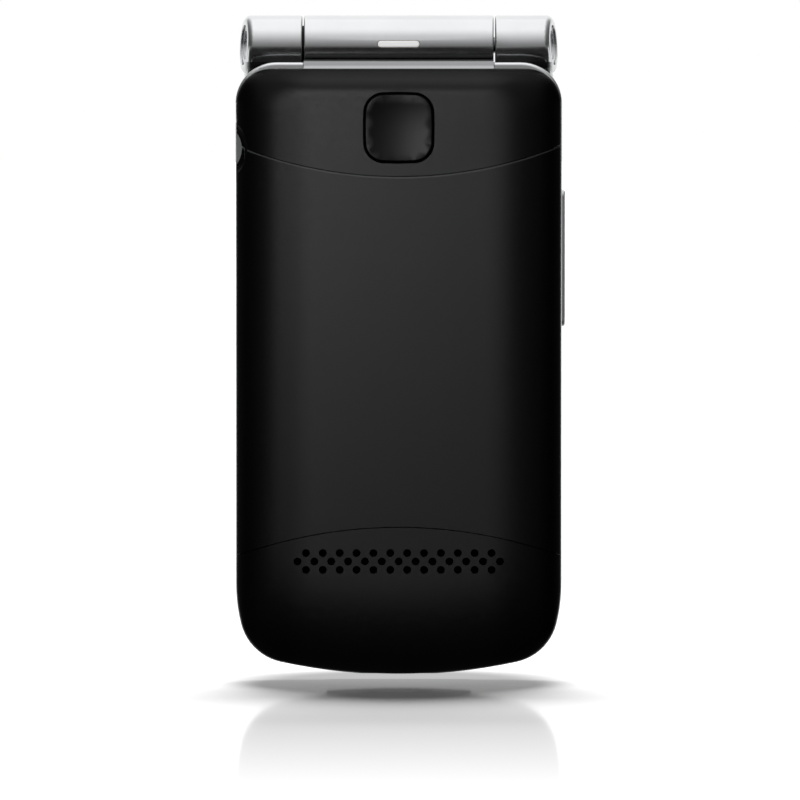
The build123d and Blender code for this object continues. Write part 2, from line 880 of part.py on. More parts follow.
motor_radius, motor_height = 2.0, 8.0
motor_left, motor_right = -12.0, -3.0
motor_shaft_radius, motor_shaft_length, motor_weight_length = 0.4, 0.6, 2.4
motor_y = floor_rear_y - 0.1 - motor_radius
motor_weight_x = motor_right + motor_shaft_length
with BuildPart() as vibration_motor:
    rod(motor_left, motor_right, motor_y, motor_height, motor_radius)
    rod(motor_right, motor_weight_x, motor_y, motor_height, motor_shaft_radius)
    with BuildSketch(along(motor_weight_x)):
        with Locations((motor_y, motor_height)):
            Circle(motor_radius - 0.1)
            with Locations((-0.6 * motor_radius, 0)):
                Rectangle(motor_radius, 2 * motor_radius, mode=Mode.SUBTRACT)
    extrude(amount=motor_weight_length)
finish_piece(vibration_motor.part, "vibration_motor")

with BuildPart() as usb_socket:
    with BuildSketch(along(-half_width + 0.2)) as shell_end:
        with Locations((usb_y, usb_height)):
            RectangleRounded(usb_thickness, usb_width, 0.8)
    extrude(shell_end.sketch, amount=usb_length)
    with BuildSketch(along(-half_width + 0.2)) as mouth:
        with Locations((usb_y, usb_height)):
            RectangleRounded(usb_thickness - 0.6, usb_width - 0.6, 0.5)
    extrude(mouth.sketch, amount=usb_length - 0.6, mode=Mode.SUBTRACT)
    with BuildSketch(along(-half_width + 1.2)) as blade:
        with Locations((usb_y + 0.1, usb_height)):
            Rectangle(0.5, usb_width - 2.6)
    extrude(blade.sketch, amount=usb_length - 1.2)
finish_piece(usb_socket.part, "usb_socket")

with BuildPart() as headset_socket:
    rod(-half_width + 0.2, -jack_body_x + 0.1, jack_y, jack_height, jack_width / 2)
    with BuildSketch(along(-jack_body_x)) as body:
        with Locations((jack_y, jack_height)):
            Rectangle(jack_width, jack_width)
    extrude(body.sketch, amount=jack_body_x - jack_inner_x + 0.6)
    rod(-half_width, -jack_inner_x, jack_y, jack_height, jack_radius, Mode.SUBTRACT)
finish_piece(headset_socket.part, "headset_socket")

with BuildPart() as microphone:
    post(board_front_y, plate_rear_y - 0.1, 0, microphone_height, microphone_radius)
    post(plate_rear_y - 0.6, plate_rear_y, 0, microphone_height, port_radius, Mode.SUBTRACT)
finish_piece(microphone.part, "microphone")

button_rear_y = rear_y + 0.05
button_base_y = rear_y + 2.3
flange_rear_y = rear_y + 1.9
switch_tip_y = button_base_y + assist_travel + 0.05
dish_radius = 60.0
dish_depth = 0.45
button_edge = 0.15
with BuildPart() as assist_button:
    with BuildSketch(across(button_base_y)):
        bowed_square(
            assist_size - 2 * assist_gap,
            assist_corner - assist_gap,
            assist_bow,
            assist_height,
        )
    extrude(amount=button_base_y - button_rear_y)
    with Locations((0, button_rear_y - dish_radius + dish_depth, assist_height)):
        Sphere(dish_radius, mode=Mode.SUBTRACT)
    fillet(assist_button.faces().sort_by(Axis.Y)[0].edges(), button_edge)
    with BuildSketch(across(button_base_y)):
        bowed_square(assist_size + 0.6, assist_corner + 0.3, assist_bow, assist_height)
    extrude(amount=button_base_y - flange_rear_y)
finish_piece(assist_button.part, "assist_button")

switch_size, plunger_radius, plunger_length = 6.0, 1.6, 0.8
with BuildPart() as assist_switch:
    slab(
        switch_tip_y + plunger_length,
        floor_rear_y,
        0,
        assist_height,
        switch_size,
        switch_size,
        0.4,
    )
    post(switch_tip_y, switch_tip_y + plunger_length, 0, assist_height, plunger_radius)
finish_piece(assist_switch.part, "assist_switch")

antenna_rear_y = skin_y + 1.2
antenna_x, antenna_size, antenna_thickness = 12.2, 10.4, 0.9
antenna_legs, leg_width, leg_length = (8.6, 15.8), 1.2, 3.0
antenna_height = assist_height - 0.1
with BuildPart() as antenna:
    slab(
        antenna_rear_y,
        antenna_rear_y + antenna_thickness,
        antenna_x,
        antenna_height,
        antenna_size,
        antenna_size,
        1.0,
    )
    for x in antenna_legs:
        slab(antenna_rear_y, floor_rear_y, x, antenna_height - leg_length, leg_width, leg_length)
finish_piece(antenna.part, "antenna")

screw_front_y = lug_front_y - 0.05
with BuildPart() as base_screws:
    for x, z in screw_places:
        post(boss_rear_y + 0.1, boss_rear_y + 0.8, x, z, screw_head)
        post(boss_rear_y + 0.8, screw_front_y, x, z, screw_radius)
finish_piece(base_screws.part, "base_screws")

# Volume rocker: its bar stands in the frame's slot and its flange behind the wall.
rocker_y = (frame_rear_y + base_front_y) / 2
rocker_flange_x = half_width - wall - 0.65
rocker_flange = 0.35
with BuildPart() as volume_rocker:
    with BuildSketch(along(rocker_flange_x)) as bar:
        with Locations((rocker_y, rocker_height)):
            RectangleRounded(rocker_width, rocker_length, 1.0)
    extrude(bar.sketch, amount=half_width + rocker_proud - rocker_flange_x)
    fillet(volume_rocker.faces().sort_by(Axis.X)[-1].edges(), 0.35)
    with BuildSketch(along(rocker_flange_x)) as flange:
        with Locations((rocker_y, rocker_height)):
            Rectangle(rocker_width + 0.3, rocker_length + 1.2)
    extrude(flange.sketch, amount=rocker_flange)
finish_piece(volume_rocker.part, "volume_rocker")

switch_board_x = rocker_flange_x - 1.3
with BuildPart() as side_switch_board:
    with BuildSketch(along(switch_board_x)) as strip:
        with Locations((rocker_y, rocker_height - 1)):
            Rectangle(rocker_width + 0.2, rocker_length - 3)
    extrude(strip.sketch, amount=0.4)
    for side in (-1, 1):
        with BuildSketch(along(switch_board_x + 0.4)) as dome:
            with Locations((rocker_y, rocker_height + side * (rocker_length / 2 - 3.5))):
                Circle(1.2)
        extrude(dome.sketch, amount=0.6)
finish_piece(side_switch_board.part, "side_switch_board")

# ---------------------------------------------------------------- hinge works
follower_end = knuckle_start + 4.2
cam_start = barrel_half - 3.8
shaft_radius = 1.2
shaft_head_x = 5.0
shaft_end = follower_end + 1.6
bush_radius = barrel_bore - run_gap
spring_count = 5

with BuildPart() as hinge_shaft:
    rod(shaft_head_x, shaft_end, hinge_y, hinge_z, shaft_radius)
    rod(shaft_head_x, shaft_head_x + 0.8, hinge_y, hinge_z, 2.2)
finish_piece(hinge_shaft.part, "hinge_shaft")

with BuildPart() as hinge_cam_follower:
    rod(knuckle_start + 0.05, follower_end, hinge_y, hinge_z, bush_radius)
    rod(knuckle_start, follower_end, hinge_y, hinge_z, shaft_radius + run_gap, Mode.SUBTRACT)
finish_piece(hinge_cam_follower.part, "hinge_cam_follower")

with BuildPart() as hinge_cam:
    rod(cam_start, barrel_half, hinge_y, hinge_z, bush_radius)
    rod(cam_start, barrel_half, hinge_y, hinge_z, shaft_radius + run_gap, Mode.SUBTRACT)
finish_piece(hinge_cam.part, "hinge_cam")

# disc springs between the shaft's head and the cam, each a shallow cone
spring_thickness = 0.35
spring_cone = 0.3
spring_start = shaft_head_x + 0.8 + 0.1
spring_pitch = (cam_start - spring_start) / spring_count
shaft_line = Axis((0, hinge_y, hinge_z), (1, 0, 0))
with BuildPart() as hinge_springs:
    for number in range(spring_count):
        inner_x = spring_start + number * spring_pitch + spring_cone * (number % 2)
        outer_x = spring_start + number * spring_pitch + spring_cone * ((number + 1) % 2)
        inner_z = hinge_z + shaft_radius + run_gap
        outer_z = hinge_z + bush_radius - 0.2
        with BuildSketch(Plane.XZ.offset(-hinge_y)):
            with BuildLine():
                Polyline(
                    (inner_x, inner_z),
                    (outer_x, outer_z),
                    (outer_x + spring_thickness, outer_z),
                    (inner_x + spring_thickness, inner_z),
                    close=True,
                )
            make_face()
        revolve(axis=shaft_line)
finish_piece(hinge_springs.part, "hinge_springs")

flex_radius = 1.6
bush_inner = 2.1
bush_end = -(barrel_half - 4.0)
with BuildPart() as flex_bushing:
    rod(-bore_end + 0.2, bush_end, hinge_y, hinge_z, bush_radius)
    rod(-bore_end, bush_end, hinge_y, hinge_z, bush_inner, Mode.SUBTRACT)
finish_piece(flex_bushing.part, "flex_bushing")

# ---------------------------------------------------------------- lid
lid_half = half_width - lid_inset
lid_low = lid_inset - foot_depth
lid_top = hinge_z - barrel_radius - lid_top_gap
lid_bar_low = lid_top - lid_bar_height
lid_rim_y = lid_back_y + lid_band
lid_skin_y = lid_front_y - wall
barrel_front_y = hinge_y + barrel_radius
flex_x, flex_width = -2.0, 7.0
lid_boss_radius = 1.8
lid_screw_reach = lid_half - 4.5
lid_screw_low = lid_boss_radius + lid_boss_gap
lid_screw_low += outline_underside(lid_screw_reach, lid_half - wall, lid_low + wall)
lens_height = lid_screw_low + lens_rise + lens_length / 2
lens_width = 2 * (lid_half - lens_side)
view_width = lens_width - 2 * view_border
flex_slot_y = lid_back_y + 1.35
pipe_width, pipe_height, pipe_z = 6.3, 0.95, hinge_z + 0.2
pipe_proud = 0.1
lip_reach = lip_width / 2
lip_low = lip_radius - sqrt(lip_radius**2 - lip_reach**2)

with BuildPart() as barrel:
    rod(-barrel_half, barrel_half, hinge_y, hinge_z, barrel_radius)
    fillet(barrel.edges().filter_by(GeomType.CIRCLE), barrel_round)

with BuildPart() as lid_frame:
    outline_slab(lid_back_y, lid_rim_y, lid_half, lid_low, lid_top, lid_corner)
    fillet(lid_frame.faces().sort_by(Axis.Y)[0].edges(), frame_round / 2)
    fillet(lid_frame.faces().sort_by(Axis.Y)[-1].edges(), frame_round / 2)
    outline_slab(
        lid_back_y - 1,
        lid_rim_y + 1,
        lid_half - wall,
        lid_low + wall,
        lid_bar_low,
        lid_corner - wall,
        Mode.SUBTRACT,
    )
    with BuildSketch(along(-barrel_half)):
        with BuildLine():
            Polyline(
                (lid_back_y, lid_bar_low + 1),
                (lid_rim_y, lid_bar_low + 1),
                (lid_rim_y, lid_top + fit_gap),
                (barrel_front_y, lid_top + fit_gap),
                (barrel_front_y, hinge_z),
                (lid_back_y, hinge_z),
                close=True,
            )
        make_face()
    extrude(amount=barrel_length)
    add(barrel.part)
    rod(-barrel_half - 1, barrel_half + 1, hinge_y, hinge_z, barrel_bore, Mode.SUBTRACT)
    slab(
        flex_slot_y - 0.5,
        flex_slot_y + 0.5,
        flex_x,
        (lid_bar_low + hinge_z) / 2 - 1,
        flex_width + 1,
        hinge_z - lid_bar_low,
        mode=Mode.SUBTRACT,
    )
    with BuildSketch(across(hinge_y)):
        with Locations((0, pipe_z)):
            SlotOverall(pipe_width + 0.16, pipe_height + 0.16)
    extrude(amount=barrel_radius + 1, mode=Mode.SUBTRACT)
finish_piece(lid_frame.part, "lid_frame")

with BuildPart() as light_pipe:
    with BuildSketch(across(hinge_y - barrel_bore + 0.3)):
        with Locations((0, pipe_z)):
            SlotOverall(pipe_width, pipe_height)
    extrude(amount=barrel_radius - barrel_bore + 0.3 + pipe_proud)
    fillet(light_pipe.faces().sort_by(Axis.Y)[0].edges(), 0.2)
finish_piece(light_pipe.part, "light_pipe")

flex_thickness = 0.2
display_rear_y = lid_back_y + 1.65
display_depth = 2.5
lid_board_rear_y = display_rear_y + display_depth + 0.1
lid_board_thickness = 0.6
lid_board_low = lid_screw_low + 4.0
lid_board_high = lid_bar_low - 8.0
flex_tail_y = lid_board_rear_y - 0.18
flex_tail_low = lid_bar_low - 11.0
with BuildPart() as display_flex:
    rod(-bore_end + 0.6, shaft_head_x - 0.5, hinge_y, hinge_z, flex_radius)
    rod(-bore_end, shaft_head_x, hinge_y, hinge_z, flex_radius - 0.25, Mode.SUBTRACT)
    with BuildSketch(along(flex_x - flex_width / 2)):
        with BuildLine():
            Polyline(
                (hinge_y + flex_radius - 0.15, hinge_z),
                (flex_slot_y, hinge_z - 2.0),
                (flex_slot_y, lid_bar_low - 0.6),
                (flex_tail_y, lid_bar_low - 3.0),
                (flex_tail_y, flex_tail_low),
            )
        trace(line_width=flex_thickness)
    extrude(amount=flex_width)
finish_piece(display_flex.part, "display_flex")

lid_shape = rolled_solid(
    lid_rim_y,
    lid_rim_y + shell_edge,
    lid_front_y,
    lid_half - 0.1,
    lid_low + 0.1,
    lid_top - 0.1,
    lid_corner,
)
lid_hollow = rolled_solid(
    lid_rim_y - wall,
    lid_rim_y + shell_edge,
    lid_skin_y,
    lid_half - 0.1 - wall,
    lid_low + 0.1 + wall,
    lid_top - 0.1 - wall,
    lid_corner - wall,
)
lid_screw_heights = (lid_screw_low, lid_bar_low - 2.2)
lid_screw_places = [
    (x, z) for z in lid_screw_heights for x in (-lid_screw_reach, lid_screw_reach)
]
window_width = outer_lens_width - 2.4
window_length = outer_lens_length - 2.4
outer_lens_y = lid_front_y - lens_thickness

with BuildPart() as lid_bosses:
    for x, z in lid_screw_places:
        post(lid_rim_y, lid_front_y, x, z, lid_boss_radius)
    add(lid_shape, mode=Mode.INTERSECT)
    for x, z in lid_screw_places:
        post(display_rear_y, lid_rim_y, x, z, lid_boss_radius)

with BuildPart() as lid_shell:
    add(lid_shape)
    add(lid_hollow, mode=Mode.SUBTRACT)
    add(lid_bosses.part)
    for x, z in lid_screw_places:
        post(display_rear_y, lid_front_y - 2.2, x, z, screw_radius + 0.05, Mode.SUBTRACT)
    slab(
        lid_skin_y - 1,
        lid_front_y + 1,
        0,
        outer_lens_height,
        window_width,
        window_length,
        outer_lens_corner - 1.2,
        Mode.SUBTRACT,
    )
    slab(
        outer_lens_y - 0.05,
        lid_front_y + 1,
        0,
        outer_lens_height,
        outer_lens_width + 0.2,
        outer_lens_length + 0.2,
        outer_lens_corner + 0.1,
        Mode.SUBTRACT,
    )
    # thumb lip, on which the lid's side of the phone also stands
    with BuildSketch(across(lid_rim_y + 0.1 + lip_depth)) as lip:
        with BuildLine():
            ThreePointArc((-lip_reach, lip_low), (0, 0), (lip_reach, lip_low))
            Line((lip_reach, lip_low), (lip_reach - 1, lip_root))
            Line((lip_reach - 1, lip_root), (1 - lip_reach, lip_root))
            Line((1 - lip_reach, lip_root), (-lip_reach, lip_low))
        make_face()
    extrude(lip.sketch, amount=lip_depth)
finish_piece(lid_shell.part, "lid_shell")

with BuildPart() as outer_lens:
    slab(
        outer_lens_y,
        lid_front_y - 0.05,
        0,
        outer_lens_height,
        outer_lens_width,
        outer_lens_length,
        outer_lens_corner,
    )
finish_piece(outer_lens.part, "outer_lens")

outer_display_rear_y = lid_board_rear_y + lid_board_thickness + 0.1
with BuildPart() as outer_display:
    slab(
        outer_display_rear_y,
        lid_skin_y - 0.15,
        0,
        outer_lens_height,
        window_width + 1.2,
        window_length + 2.0,
        0.6,
    )
finish_piece(outer_display.part, "outer_display")

display_width, display_length = lens_width + 1.0, lens_length + 2.0
bezel_rear_y = lid_back_y + 0.1
lens_rear_y = bezel_rear_y + 0.1
bezel_front_y = display_rear_y - 0.05
earpiece_z = hinge_z - 16.7
sound_slot_length, sound_slot_width = 9.0, 0.7
earpiece_width, earpiece_height = 12.0, 6.0
bumper_radius = 1.35
with BuildPart() as lid_bezel:
    outline_slab(
        bezel_rear_y,
        bezel_front_y,
        lid_half - wall - fit_gap,
        lid_low + wall + fit_gap,
        lid_bar_low - fit_gap,
        lid_corner - wall - fit_gap,
    )
    slab(
        bezel_rear_y - 1,
        lens_rear_y + lens_thickness + 0.05,
        0,
        lens_height,
        lens_width + 0.2,
        lens_length + 0.2,
        1.6,
        Mode.SUBTRACT,
    )
    slab(
        bezel_rear_y - 1,
        bezel_front_y + 1,
        0,
        lens_height + 0.5,
        view_width,
        view_length,
        0.4,
        Mode.SUBTRACT,
    )
    # notch in the bezel's top edge, where the flex comes through from the bar
    slab(
        flex_slot_y - 0.45,
        bezel_front_y + 1,
        flex_x,
        lid_bar_low - 0.5,
        flex_width + 1,
        2.2,
        mode=Mode.SUBTRACT,
    )
    for rise in (-1.5, 0, 1.5):
        with BuildSketch(across(bezel_front_y + 1)) as sound_slot:
            with Locations((0, earpiece_z + rise)):
                SlotOverall(sound_slot_length - abs(rise), sound_slot_width)
        extrude(sound_slot.sketch, amount=bezel_front_y - bezel_rear_y + 2, mode=Mode.SUBTRACT)
    for x, z in lid_screw_places:
        post(bezel_rear_y - 1, bezel_rear_y + 1.0, x, z, screw_head + 0.05, Mode.SUBTRACT)
        post(bezel_rear_y - 1, bezel_front_y + 1, x, z, screw_radius + 0.1, Mode.SUBTRACT)
finish_piece(lid_bezel.part, "lid_bezel")

with BuildPart() as display_lens:
    slab(
        lens_rear_y,
        lens_rear_y + lens_thickness,
        0,
        lens_height,
        lens_width,
        lens_length,
        1.5,
    )
finish_piece(display_lens.part, "display_lens")

with BuildPart() as main_display:
    slab(
        display_rear_y,
        display_rear_y + display_depth,
        0,
        lens_height,
        display_width,
        display_length,
        0.5,
    )
finish_piece(main_display.part, "main_display")

with BuildPart() as lid_board:
    slab(
        lid_board_rear_y,
        lid_board_rear_y + lid_board_thickness,
        0,
        (lid_board_low + lid_board_high) / 2,
        display_width - 2,
        lid_board_high - lid_board_low,
        1.5,
    )
    for x, z in lid_screw_places:
        post(
            lid_board_rear_y - 1,
            lid_board_rear_y + 2,
            x,
            z,
            lid_boss_radius + 0.3,
            Mode.SUBTRACT,
        )
finish_piece(lid_board.part, "lid_board")

with BuildPart() as earpiece:
    slab(
        display_rear_y,
        flex_tail_y - 0.25,
        0,
        earpiece_z,
        earpiece_width,
        earpiece_height,
        2.8,
    )
finish_piece(earpiece.part, "earpiece")

lid_screw_rear_y = bezel_rear_y + 0.3
with BuildPart() as lid_screws:
    for x, z in lid_screw_places:
        post(lid_screw_rear_y, bezel_rear_y + 0.95, x, z, screw_head - 0.1)
        post(bezel_rear_y + 0.95, lid_front_y - 3.4, x, z, screw_radius)
finish_piece(lid_screws.part, "lid_screws")

with BuildPart() as lid_bumpers:
    for x, z in lid_screw_places:
        post(base_front_y + fit_gap, lid_screw_rear_y - 0.05, x, z, bumper_radius)
    fillet(lid_bumpers.faces().filter_by(Axis.Y).group_by(Axis.Y)[0].edges(), 0.3)
finish_piece(lid_bumpers.part, "lid_bumpers")
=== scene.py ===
"""A flip phone, closed and standing on its flat foot, seen from the side of its battery cover.

Lengths are in metres. The rear with the battery cover faces -Y, the lid faces +Y and +Z is up.
"""

import json
import math

import bmesh
import bpy
from mathutils import Matrix, Vector

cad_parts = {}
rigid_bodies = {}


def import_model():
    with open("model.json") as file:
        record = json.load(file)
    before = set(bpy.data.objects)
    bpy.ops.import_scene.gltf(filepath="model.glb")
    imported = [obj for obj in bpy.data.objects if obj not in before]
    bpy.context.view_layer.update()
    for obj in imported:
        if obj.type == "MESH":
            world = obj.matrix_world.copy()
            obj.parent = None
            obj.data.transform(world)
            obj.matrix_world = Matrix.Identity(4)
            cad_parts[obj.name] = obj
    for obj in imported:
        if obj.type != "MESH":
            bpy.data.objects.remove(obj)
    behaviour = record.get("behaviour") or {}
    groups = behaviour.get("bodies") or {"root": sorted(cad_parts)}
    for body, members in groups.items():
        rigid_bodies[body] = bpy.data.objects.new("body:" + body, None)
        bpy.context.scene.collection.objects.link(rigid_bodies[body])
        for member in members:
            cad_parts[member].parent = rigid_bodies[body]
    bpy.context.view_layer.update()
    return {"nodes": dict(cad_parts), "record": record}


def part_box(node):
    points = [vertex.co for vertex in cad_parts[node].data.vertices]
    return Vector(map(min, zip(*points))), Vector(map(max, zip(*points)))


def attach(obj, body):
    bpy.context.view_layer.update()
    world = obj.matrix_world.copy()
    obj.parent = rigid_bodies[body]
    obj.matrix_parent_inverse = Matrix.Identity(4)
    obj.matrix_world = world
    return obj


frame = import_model()
nodes = frame["nodes"]
MM = 0.001


# ---------------------------------------------------------------- where finishes change, in mm
# Where the shell's gloss begins to fade and where it has faded, and how much of it is left: to the
# sides, counted from the middle, and at the top. The fade paints shade into the gloss.
GLOSS_SIDES = ((12.5, 18.0, 0.5), (21.0, 23.4, 0.08))
GLOSS_TOP = (90.3, 91.6, 0.35)
# The battery cover's upper arc: the height of its middle, its radius, and how far past that the
# highlight painted along its edge begins and ends to fade
COVER_SEAM, SEAM_HIGHLIGHT_FADE = (75.7, 66.4), (0.26, 0.3)
# Hinge: its axis, the gap between barrel and knuckle, and the radius of their end faces
HINGE_AXIS = (0.0, 1.75, 95.5)
KNUCKLE_GAP, GAP_REACH, END_RADIUS = 14.555, 0.16, 4.42
BARREL_HALF = 14.6
# Mid frame, where shade is painted: its shoulder under the barrel, its ledges beside that, and its
# rim in the nail notch
SHOULDER_ROUND, SHOULDER_TOP = (92.0, 92.6), (93.05, 93.25)
LEDGE_LOW, LEDGE_HIGH, LEDGE_SIDE, LEDGE_REAR = 90.0, 92.96, (22.5, 23.6), -3.9
NOTCH_HEIGHT, NOTCH_REACH, NOTCH_SIDE, RIM_REAR = 79.85, 5.0, -20.0, -4.3
# Depths of the assistance button's face and of its flange
BUTTON_FACE, BUTTON_FLANGE = -9.7, -9.2
# Centre height, half width and half height of each view, and whether it is the outer one
VIEWS = (
    (43.0, 18.75, 25.0, False),
    (60.0, 10.8, 8.2, True),
)
# The width of a view's soft edge, and the depth that parts the two sides of the lid
VIEW_EDGE, LID_MIDDLE = 0.02, 6.0
# The middle of the battery, half the length of its wrap, and the stripes printed on that
BATTERY_MIDDLE, WRAP_END, STRIPE_AT, STRIPE_HALF = 48.0, (19.9, 20.0), 16.8, (0.95, 1.0)
# The middle of the nav rocker, and about how many rings its metal has to the metre
NAV_CENTRE, RING_SCALE = (0.0, 1.8, 67.7), 2500.0

SILVER = (0.80, 0.81, 0.82)
SHELL_BLACK, SHELL_ROUGHNESS, SHELL_GLOSS = (0.0022, 0.0022, 0.0023), 0.36, 0.34
# Colour of the highlight painted along the battery cover's upper seam
PAINTED_SEAM_HIGHLIGHT = (0.05, 0.05, 0.052)
# Grey of the shade painted on the mid frame's shoulder under the barrel
SHOULDER_SHADE_GREY = (0.3, 0.303, 0.307)
# Dark matt colour of the shade painted on the hinge's metal coat
PAINTED_SHADE_BLACK = (0.02, 0.02, 0.021)


def mm(*values):
    """Lengths given in mm, in metres."""
    return [value * MM for value in values]


# ---------------------------------------------------------------- finishes
class Finish:
    """One procedural material: its shader, and the nodes that vary it over the surface."""

    def __init__(self, name, colour, roughness, metallic=0.0, **sockets):
        self.material = bpy.data.materials.new(name)
        self.material.use_nodes = True
        self.nodes = self.material.node_tree.nodes
        self.links = self.material.node_tree.links
        self.shader = self.nodes["Principled BSDF"]
        self.colour, self.roughness = tuple(colour) + (1.0,), roughness
        self.put("Base Color", self.colour)
        self.put("Roughness", roughness)
        self.put("Metallic", metallic)
        for socket, value in sockets.items():
            self.put(socket.replace("_", " "), value)
        self.place = self.nodes.new("ShaderNodeTexCoord").outputs["Object"]

    def put(self, socket, value):
        """Sets a shader socket to a value, or feeds it from another node."""
        target = self.shader.inputs[socket]
        if isinstance(value, bpy.types.NodeSocket):
            self.links.new(value, target)
        else:
            target.default_value = value

    def feed(self, node, inputs):
        for key, value in inputs.items():
            if isinstance(value, bpy.types.NodeSocket):
                self.links.new(value, node.inputs[key])
            else:
                node.inputs[key].default_value = value
        return node

    def at(self, centre=(0, 0, 0), turn=(0, 0, 0), stretch=(1, 1, 1)):
        """Object coordinates counted from a point in mm, turned and stretched."""
        mapping = self.nodes.new("ShaderNodeMapping")
        mapping.vector_type = "TEXTURE"
        self.feed(
            mapping,
            {
                "Vector": self.place,
                "Location": [c * MM for c in centre],
                "Rotation": [math.radians(t) for t in turn],
                "Scale": stretch,
            },
        )
        return mapping.outputs[0]

    def axes(self, vector):
        """The three parts of a vector."""
        return self.feed(self.nodes.new("ShaderNodeSeparateXYZ"), {0: vector}).outputs

    def sum(self, operation, first, second=0.0, third=0.0):
        node = self.nodes.new("ShaderNodeMath")
        node.operation = operation
        return self.feed(node, {0: first, 1: second, 2: third}).outputs[0]

    def product(self, first, *others):
        """All the given values multiplied together."""
        for other in others:
            first = self.sum("MULTIPLY", first, other)
        return first

    def reach(self, first, second):
        """How far a point lies from the origin in a plane, from its two parts."""
        squares = [self.sum("POWER", part, 2.0) for part in (first, second)]
        return self.sum("SQRT", self.sum("ADD", *squares))

    def off(self, value, middle):
        """How far a value is from its middle, on either side."""
        return self.sum("ABSOLUTE", self.sum("SUBTRACT", value, middle))

    def grain(self, size, vector=None, detail=2.0):
        """Soft noise, 0 to 1, with blobs about size mm across."""
        inputs = {"Vector": vector or self.place, "Scale": 1 / (size * MM)}
        inputs.update({"Detail": detail, "Roughness": 0.5})
        return self.feed(self.nodes.new("ShaderNodeTexNoise"), inputs).outputs["Fac"]

    def cells(self, size, vector=None, feature="F1", randomness=1.0):
        """Distance to the nearest cell point, with cells about size mm across."""
        node = self.nodes.new("ShaderNodeTexVoronoi")
        node.feature = feature
        inputs = {"Vector": vector or self.place, "Scale": 1 / (size * MM)}
        return self.feed(node, {**inputs, "Randomness": randomness}).outputs["Distance"]

    def stripes(self, pitch):
        """Soft stripes side by side along X, 0 to 1, pitch mm apart."""
        node = self.nodes.new("ShaderNodeTexWave")
        node.bands_direction = "X"
        scale = 2 * math.pi / (20 * pitch * MM)
        inputs = {"Vector": self.place, "Scale": scale, "Distortion": 0.0}
        return self.feed(node, inputs).outputs["Fac"]

    def span(self, value, low, high, start=0.0, end=1.0, soft=True):
        """A value between low and high, spread to between start and end, and held outside."""
        node = self.nodes.new("ShaderNodeMapRange")
        node.interpolation_type = "SMOOTHSTEP" if soft else "LINEAR"
        node.clamp = True
        for socket, given in zip(node.inputs, (value, low, high, start, end)):
            self.feed(node, {socket.name: given})
        return node.outputs[0]

    def mix(self, factor, first, second):
        """The first colour where the factor is 0, the second where it is 1."""
        node = self.nodes.new("ShaderNodeMix")
        node.data_type = "RGBA"
        for socket, given in ((0, factor), (6, first), (7, second)):
            if isinstance(given, bpy.types.NodeSocket):
                self.links.new(given, node.inputs[socket])
            else:
                node.inputs[socket].default_value = given if socket == 0 else (*given[:3], 1.0)
        return node.outputs[2]

    def relief(self, *layers):
        """Bumps, each a height from 0 to 1 and its depth in mm."""
        normal = None
        for height, depth in layers:
            bump = self.nodes.new("ShaderNodeBump")
            self.feed(bump, {"Height": height, "Distance": depth * MM, "Strength": 1.0})
            if normal:
                self.links.new(normal, bump.inputs["Normal"])
            normal = bump.outputs[0]
        self.put("Normal", normal)

    def uneven(self, shade, gloss, size=9.0):
        """Slight patches of lighter and darker colour and of more and less gloss."""
        patch = self.grain(size, detail=3.0)
        darker = [c * (1 - shade) for c in self.colour[:3]]
        lighter = [min(1.0, c * (1 + shade)) for c in self.colour[:3]]
        self.put("Base Color", self.mix(self.span(patch, 0.35, 0.65), darker, lighter))
        fine = self.grain(size / 12, detail=4.0)
        self.put(
            "Roughness",
            self.span(fine, 0.3, 0.7, self.roughness - gloss, self.roughness + gloss),
        )


def moulded_plastic(name, colour, roughness, grain_size=0.11, grain_depth=0.004, **sockets):
    """Plastic with the fine spark-eroded texture of its mould."""
    finish = Finish(name, colour, roughness, **sockets)
    finish.uneven(0.06, 0.018)
    finish.relief((finish.grain(grain_size, detail=2.0), grain_depth))
    return finish


def shell_plastic(name, colour, roughness, gloss, seam=None):
    """Textured black plastic, glossier in the middle of the rear than towards its sides and top,
    which paints shade into the gloss.

    The gloss dies away at low angles. A seam, given by the height of the middle of its arc and
    its radius in mm, has a highlight painted along its edge, lighter than the rest.
    """
    finish = moulded_plastic(name, colour, roughness)
    across_x, _, up = finish.axes(finish.place)
    side = finish.sum("ABSOLUTE", across_x)
    fades = [(side, *fade) for fade in GLOSS_SIDES] + [(up, *GLOSS_TOP)]
    spans = [finish.span(at, *mm(low, high), 1.0, left) for at, low, high, left in fades]
    facing = finish.nodes.new("ShaderNodeLayerWeight")
    facing.inputs["Blend"].default_value = 0.5
    low_angle = finish.span(facing.outputs["Facing"], 0.05, 0.7, gloss, 0.2 * gloss)
    # Shade is painted into the gloss towards the sides and the top, and at low angles.
    finish.put("Specular IOR Level", finish.product(*spans, low_angle))
    if seam:
        height, radius = seam
        drop = finish.sum("SUBTRACT", (height + radius) * MM, up)
        bounds = mm(*(radius + past for past in SEAM_HIGHLIGHT_FADE))
        edge = finish.span(finish.reach(across_x, drop), *bounds, 1.0, 0.0)
        # A highlight is painted along the upper edge of the seam.
        plain = finish.shader.inputs["Base Color"].links[0].from_socket
        finish.put("Base Color", finish.mix(edge, plain, PAINTED_SEAM_HIGHLIGHT))
    return finish


def plated_plastic(name, colour, roughness, along="X"):
    """Plastic with a satin metal coat, drawn out a little along one axis."""
    finish = Finish(name, colour, roughness, 1.0)
    finish.uneven(0.02, 0.03, 14.0)
    stretch = [1.0, 1.0, 1.0]
    stretch["XYZ".index(along)] = 14.0
    drawn = finish.at(stretch=stretch)
    finish.relief((finish.grain(0.09, drawn, detail=3.0), 0.0006))
    return finish


